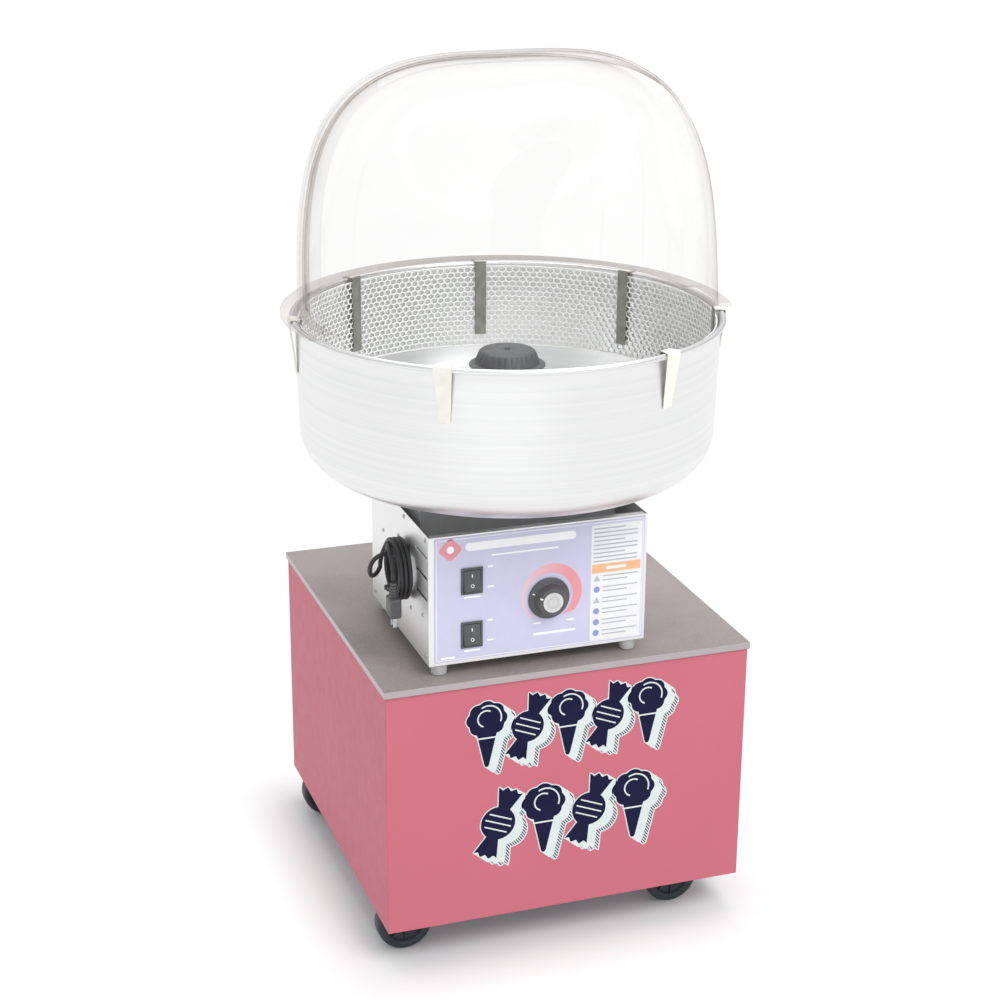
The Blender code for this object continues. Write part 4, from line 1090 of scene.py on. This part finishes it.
def make_decal():
    """Two rows of pictograms in navy film with a pale block shadow and a hatched one behind it."""
    shapes = (floss_shape(), sweet_shape())
    layers = (("decal_outline", PALE_FILM, HATCH_SHIFT, DECAL_MARGIN),
              ("decal_hatch", HATCH_FILM, HATCH_SHIFT, 0),
              ("decal_block", PALE_FILM, BLOCK_SHIFT, DECAL_MARGIN),
              ("decal_ink", NAVY_FILM, None, 0),
              ("decal_lines", PALE_FILM, None, 0))
    for number, (name, look, shift, margin) in enumerate(layers):
        outlines = [[shape] if shift is None else [swept(shape, shift, margin)] for shape in shapes]
        if name == "decal_lines":
            outlines = [pictogram_lines(kind) for kind in range(len(shapes))]
        back = CART_FRONT_Y - 0.00003 - DECAL_T * number
        bm = bmesh.new()
        for middle_z, size, places, kinds in DECAL_ROWS:
            for middle_x, kind in zip(places, kinds):
                for outline in outlines[kind]:
                    moved = [(CART.x + middle_x + size * x, middle_z + size * z) for x, z in outline]
                    sheet_shape(bm, moved, back, back - DECAL_T)
        dress(piece(name, bm), "cart", look, (0, 0, 0))


def pictogram_lines(kind):
    """Pale lines on the ink: whorls of floss and the cone's edge, or the sweet's twist and stripes."""
    if kind == 0:
        whorls = [arc((0.002, 0.022), 0.0215, -20, 120, 20) + arc((0.002, 0.022), 0.0193, 120, -20, 20),
                  arc((-0.001, 0.022), 0.0140, 60, 250, 20) + arc((-0.001, 0.022), 0.0118, 250, 60, 20)]
        rim = [(-0.0165, -0.0080), (0.0165, -0.0080), (0.0158, -0.0104), (-0.0158, -0.0104)]
        return [*whorls, rim]
    lines = []
    along = Vector((math.cos(SWEET_TILT), math.sin(SWEET_TILT)))
    side = Vector((-along.y, along.x))
    for offset in (-0.010, 0.0, 0.010):
        reach = math.sqrt(0.0200 ** 2 - offset ** 2)
        corners = ((-0.0010, -reach), (-0.0010, reach), (0.0010, reach), (0.0010, -reach))
        lines.append([tuple(along * (offset + step) + side * across) for step, across in corners])
    return lines


# ---- CAD nodes that stay -------------------------------------------------------------------------
def finish_cad_nodes():
    """Kept nodes get their materials and softened edges."""
    looks = (("cart_top", TOP_STEEL, 0.0009), ("cart_floor", ZINC, 0.0004), ("cart_", PINK, 0.0006),
             ("rear_door", PINK, 0.0012), ("door_", ZINC, 0.0004), ("caster_", ZINC, 0.0004),
             ("cabinet_", STAINLESS, 0.0005), ("pan_support", LIT_ENAMEL, 0.0012), ("motor", LIT_ENAMEL, 0.0015),
             ("heat_control", BLACK, 0.0006), ("control_overlay", LAVENDER, 0.0002),
             ("power_switch", BLACK, 0.0005), ("heat_switch", BLACK, 0.0005), ("drive_shaft", ZINC, 0.0004),
             ("slip_ring", COPPER, 0.0004), ("head_base", ALUMINIUM, 0.0004), ("heater_band", ZINC, 0.0002))
    for name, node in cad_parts.items():
        if node.hide_render:
            continue
        look, width = next((look, width) for start, look, width in looks if name.startswith(start))
        node.data.materials.clear()
        node.data.materials.append(look)
        for face in node.data.polygons:
            face.use_smooth = True
        weld = node.modifiers.new("weld", "WELD")
        weld.merge_threshold = 0.00002
        add_bevel(node, width, 32)
        node.modifiers.new("normals", "WEIGHTED_NORMAL")


# ---- studio --------------------------------------------------------------------------------------
WORLD_STRENGTH = 0.90
SKY = ((0.0, 0.40), (0.10, 0.42), (0.26, 0.92), (1.0, 0.94))   # height of the direction, and how bright
FADE_START = 0.00                 # the floor turns plain white between these distances from the cart
FADE_END = 0.11


def make_world():
    """Pure white to the camera; for light and reflections, a bright ceiling over a dimmer horizon."""
    world = bpy.data.worlds.new("studio")
    bpy.context.scene.world = world
    world.use_nodes = True
    nodes, links = world.node_tree.nodes, world.node_tree.links
    where = nodes.new("ShaderNodeTexCoord")
    split = nodes.new("ShaderNodeSeparateXYZ")
    links.new(where.outputs["Generated"], split.inputs[0])
    ramp = nodes.new("ShaderNodeValToRGB")
    stops = ramp.color_ramp.elements
    for height, _ in SKY[1:-1]:
        stops.new(height)
    for stop, (_, level) in zip(stops, SKY):
        stop.color = (level, level, level * 1.01, 1)
    links.new(split.outputs["Z"], ramp.inputs["Fac"])
    studio, white = nodes["Background"], nodes.new("ShaderNodeBackground")
    studio.inputs["Strength"].default_value = WORLD_STRENGTH
    links.new(ramp.outputs["Color"], studio.inputs["Color"])
    white.inputs["Color"].default_value = (1, 1, 1, 1)
    pick = nodes.new("ShaderNodeMixShader")
    links.new(nodes.new("ShaderNodeLightPath").outputs["Is Camera Ray"], pick.inputs[0])
    links.new(studio.outputs[0], pick.inputs[1])
    links.new(white.outputs[0], pick.inputs[2])
    links.new(pick.outputs[0], nodes["World Output"].inputs["Surface"])


def make_light(name, place, aim, size, watts, color=(1, 1, 1)):
    light = bpy.data.lights.new(name, "AREA")
    light.shape = "RECTANGLE"
    light.size, light.size_y = size
    light.energy = watts
    light.color = color
    obj = link(bpy.data.objects.new(name, light))
    obj.location = place
    obj.rotation_euler = (Vector(aim) - Vector(place)).to_track_quat("-Z", "Y").to_euler()


def make_floor():
    """A pale floor that fades to plain white away from the cart."""
    bm = bmesh.new()
    bmesh.ops.create_grid(bm, x_segments=1, y_segments=1, size=30)
    floor = piece("floor", bm)
    floor.location = (CART.x, CART.y, -0.0006)
    look = Look("floor_paint", (0.90, 0.90, 0.90), 0.9)
    low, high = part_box("cart_top")
    half = ((high.x - low.x) / 2, (high.y - low.y) / 2, 0)
    spot = look.node("ShaderNodeVectorMath", {0: look.point()}, operation="ABSOLUTE").outputs[0]
    spot = look.node("ShaderNodeVectorMath", {0: spot, 1: half}, operation="SUBTRACT").outputs[0]
    spot = look.node("ShaderNodeVectorMath", {0: spot, 1: (0, 0, 0)}, operation="MAXIMUM").outputs[0]
    where = look.node("ShaderNodeVectorMath", {0: spot}, operation="LENGTH").outputs["Value"]
    far = look.spread(where, 0.0, 1.0, FADE_START, FADE_END)
    look.mottle((0.88, 0.88, 0.885), 3.0)
    look.bump(look.noise(120.0), 0.04, 0.001)
    glow = look.node("ShaderNodeEmission", {"Color": (1, 1, 1, 1), "Strength": 1.02}).outputs[0]
    mix = look.node("ShaderNodeMixShader", {0: far, 1: look.shader.outputs[0], 2: glow}).outputs[0]
    look.tree.links.new(mix, look.tree.nodes["Material Output"].inputs["Surface"])
    floor.data.materials.append(look.material)


def make_studio():
    bpy.context.scene.view_settings.view_transform = "Standard"
    make_world()
    make_floor()
    make_light("key", (0.9, -2.6, 3.2), (0, -0.1, 0.5), (1.8, 1.8), 60)
    make_light("fill", (-1.3, -2.9, 0.8), (0, 0, 0.3), (3.2, 2.6), 8, (0.97, 0.98, 1))
    make_light("top", (0.2, 0.6, 3.4), (0, 0, 0.5), (2.2, 1.8), 34)


make_camera()
make_cord()
make_gland()
make_pan()
make_net()
make_clips()
make_bubble()
make_head_cap()
make_knob()
make_rocker_marks()
make_wheels()
make_feet()
make_all_screws()
make_front_print()
make_decal()
finish_cad_nodes()
make_studio()
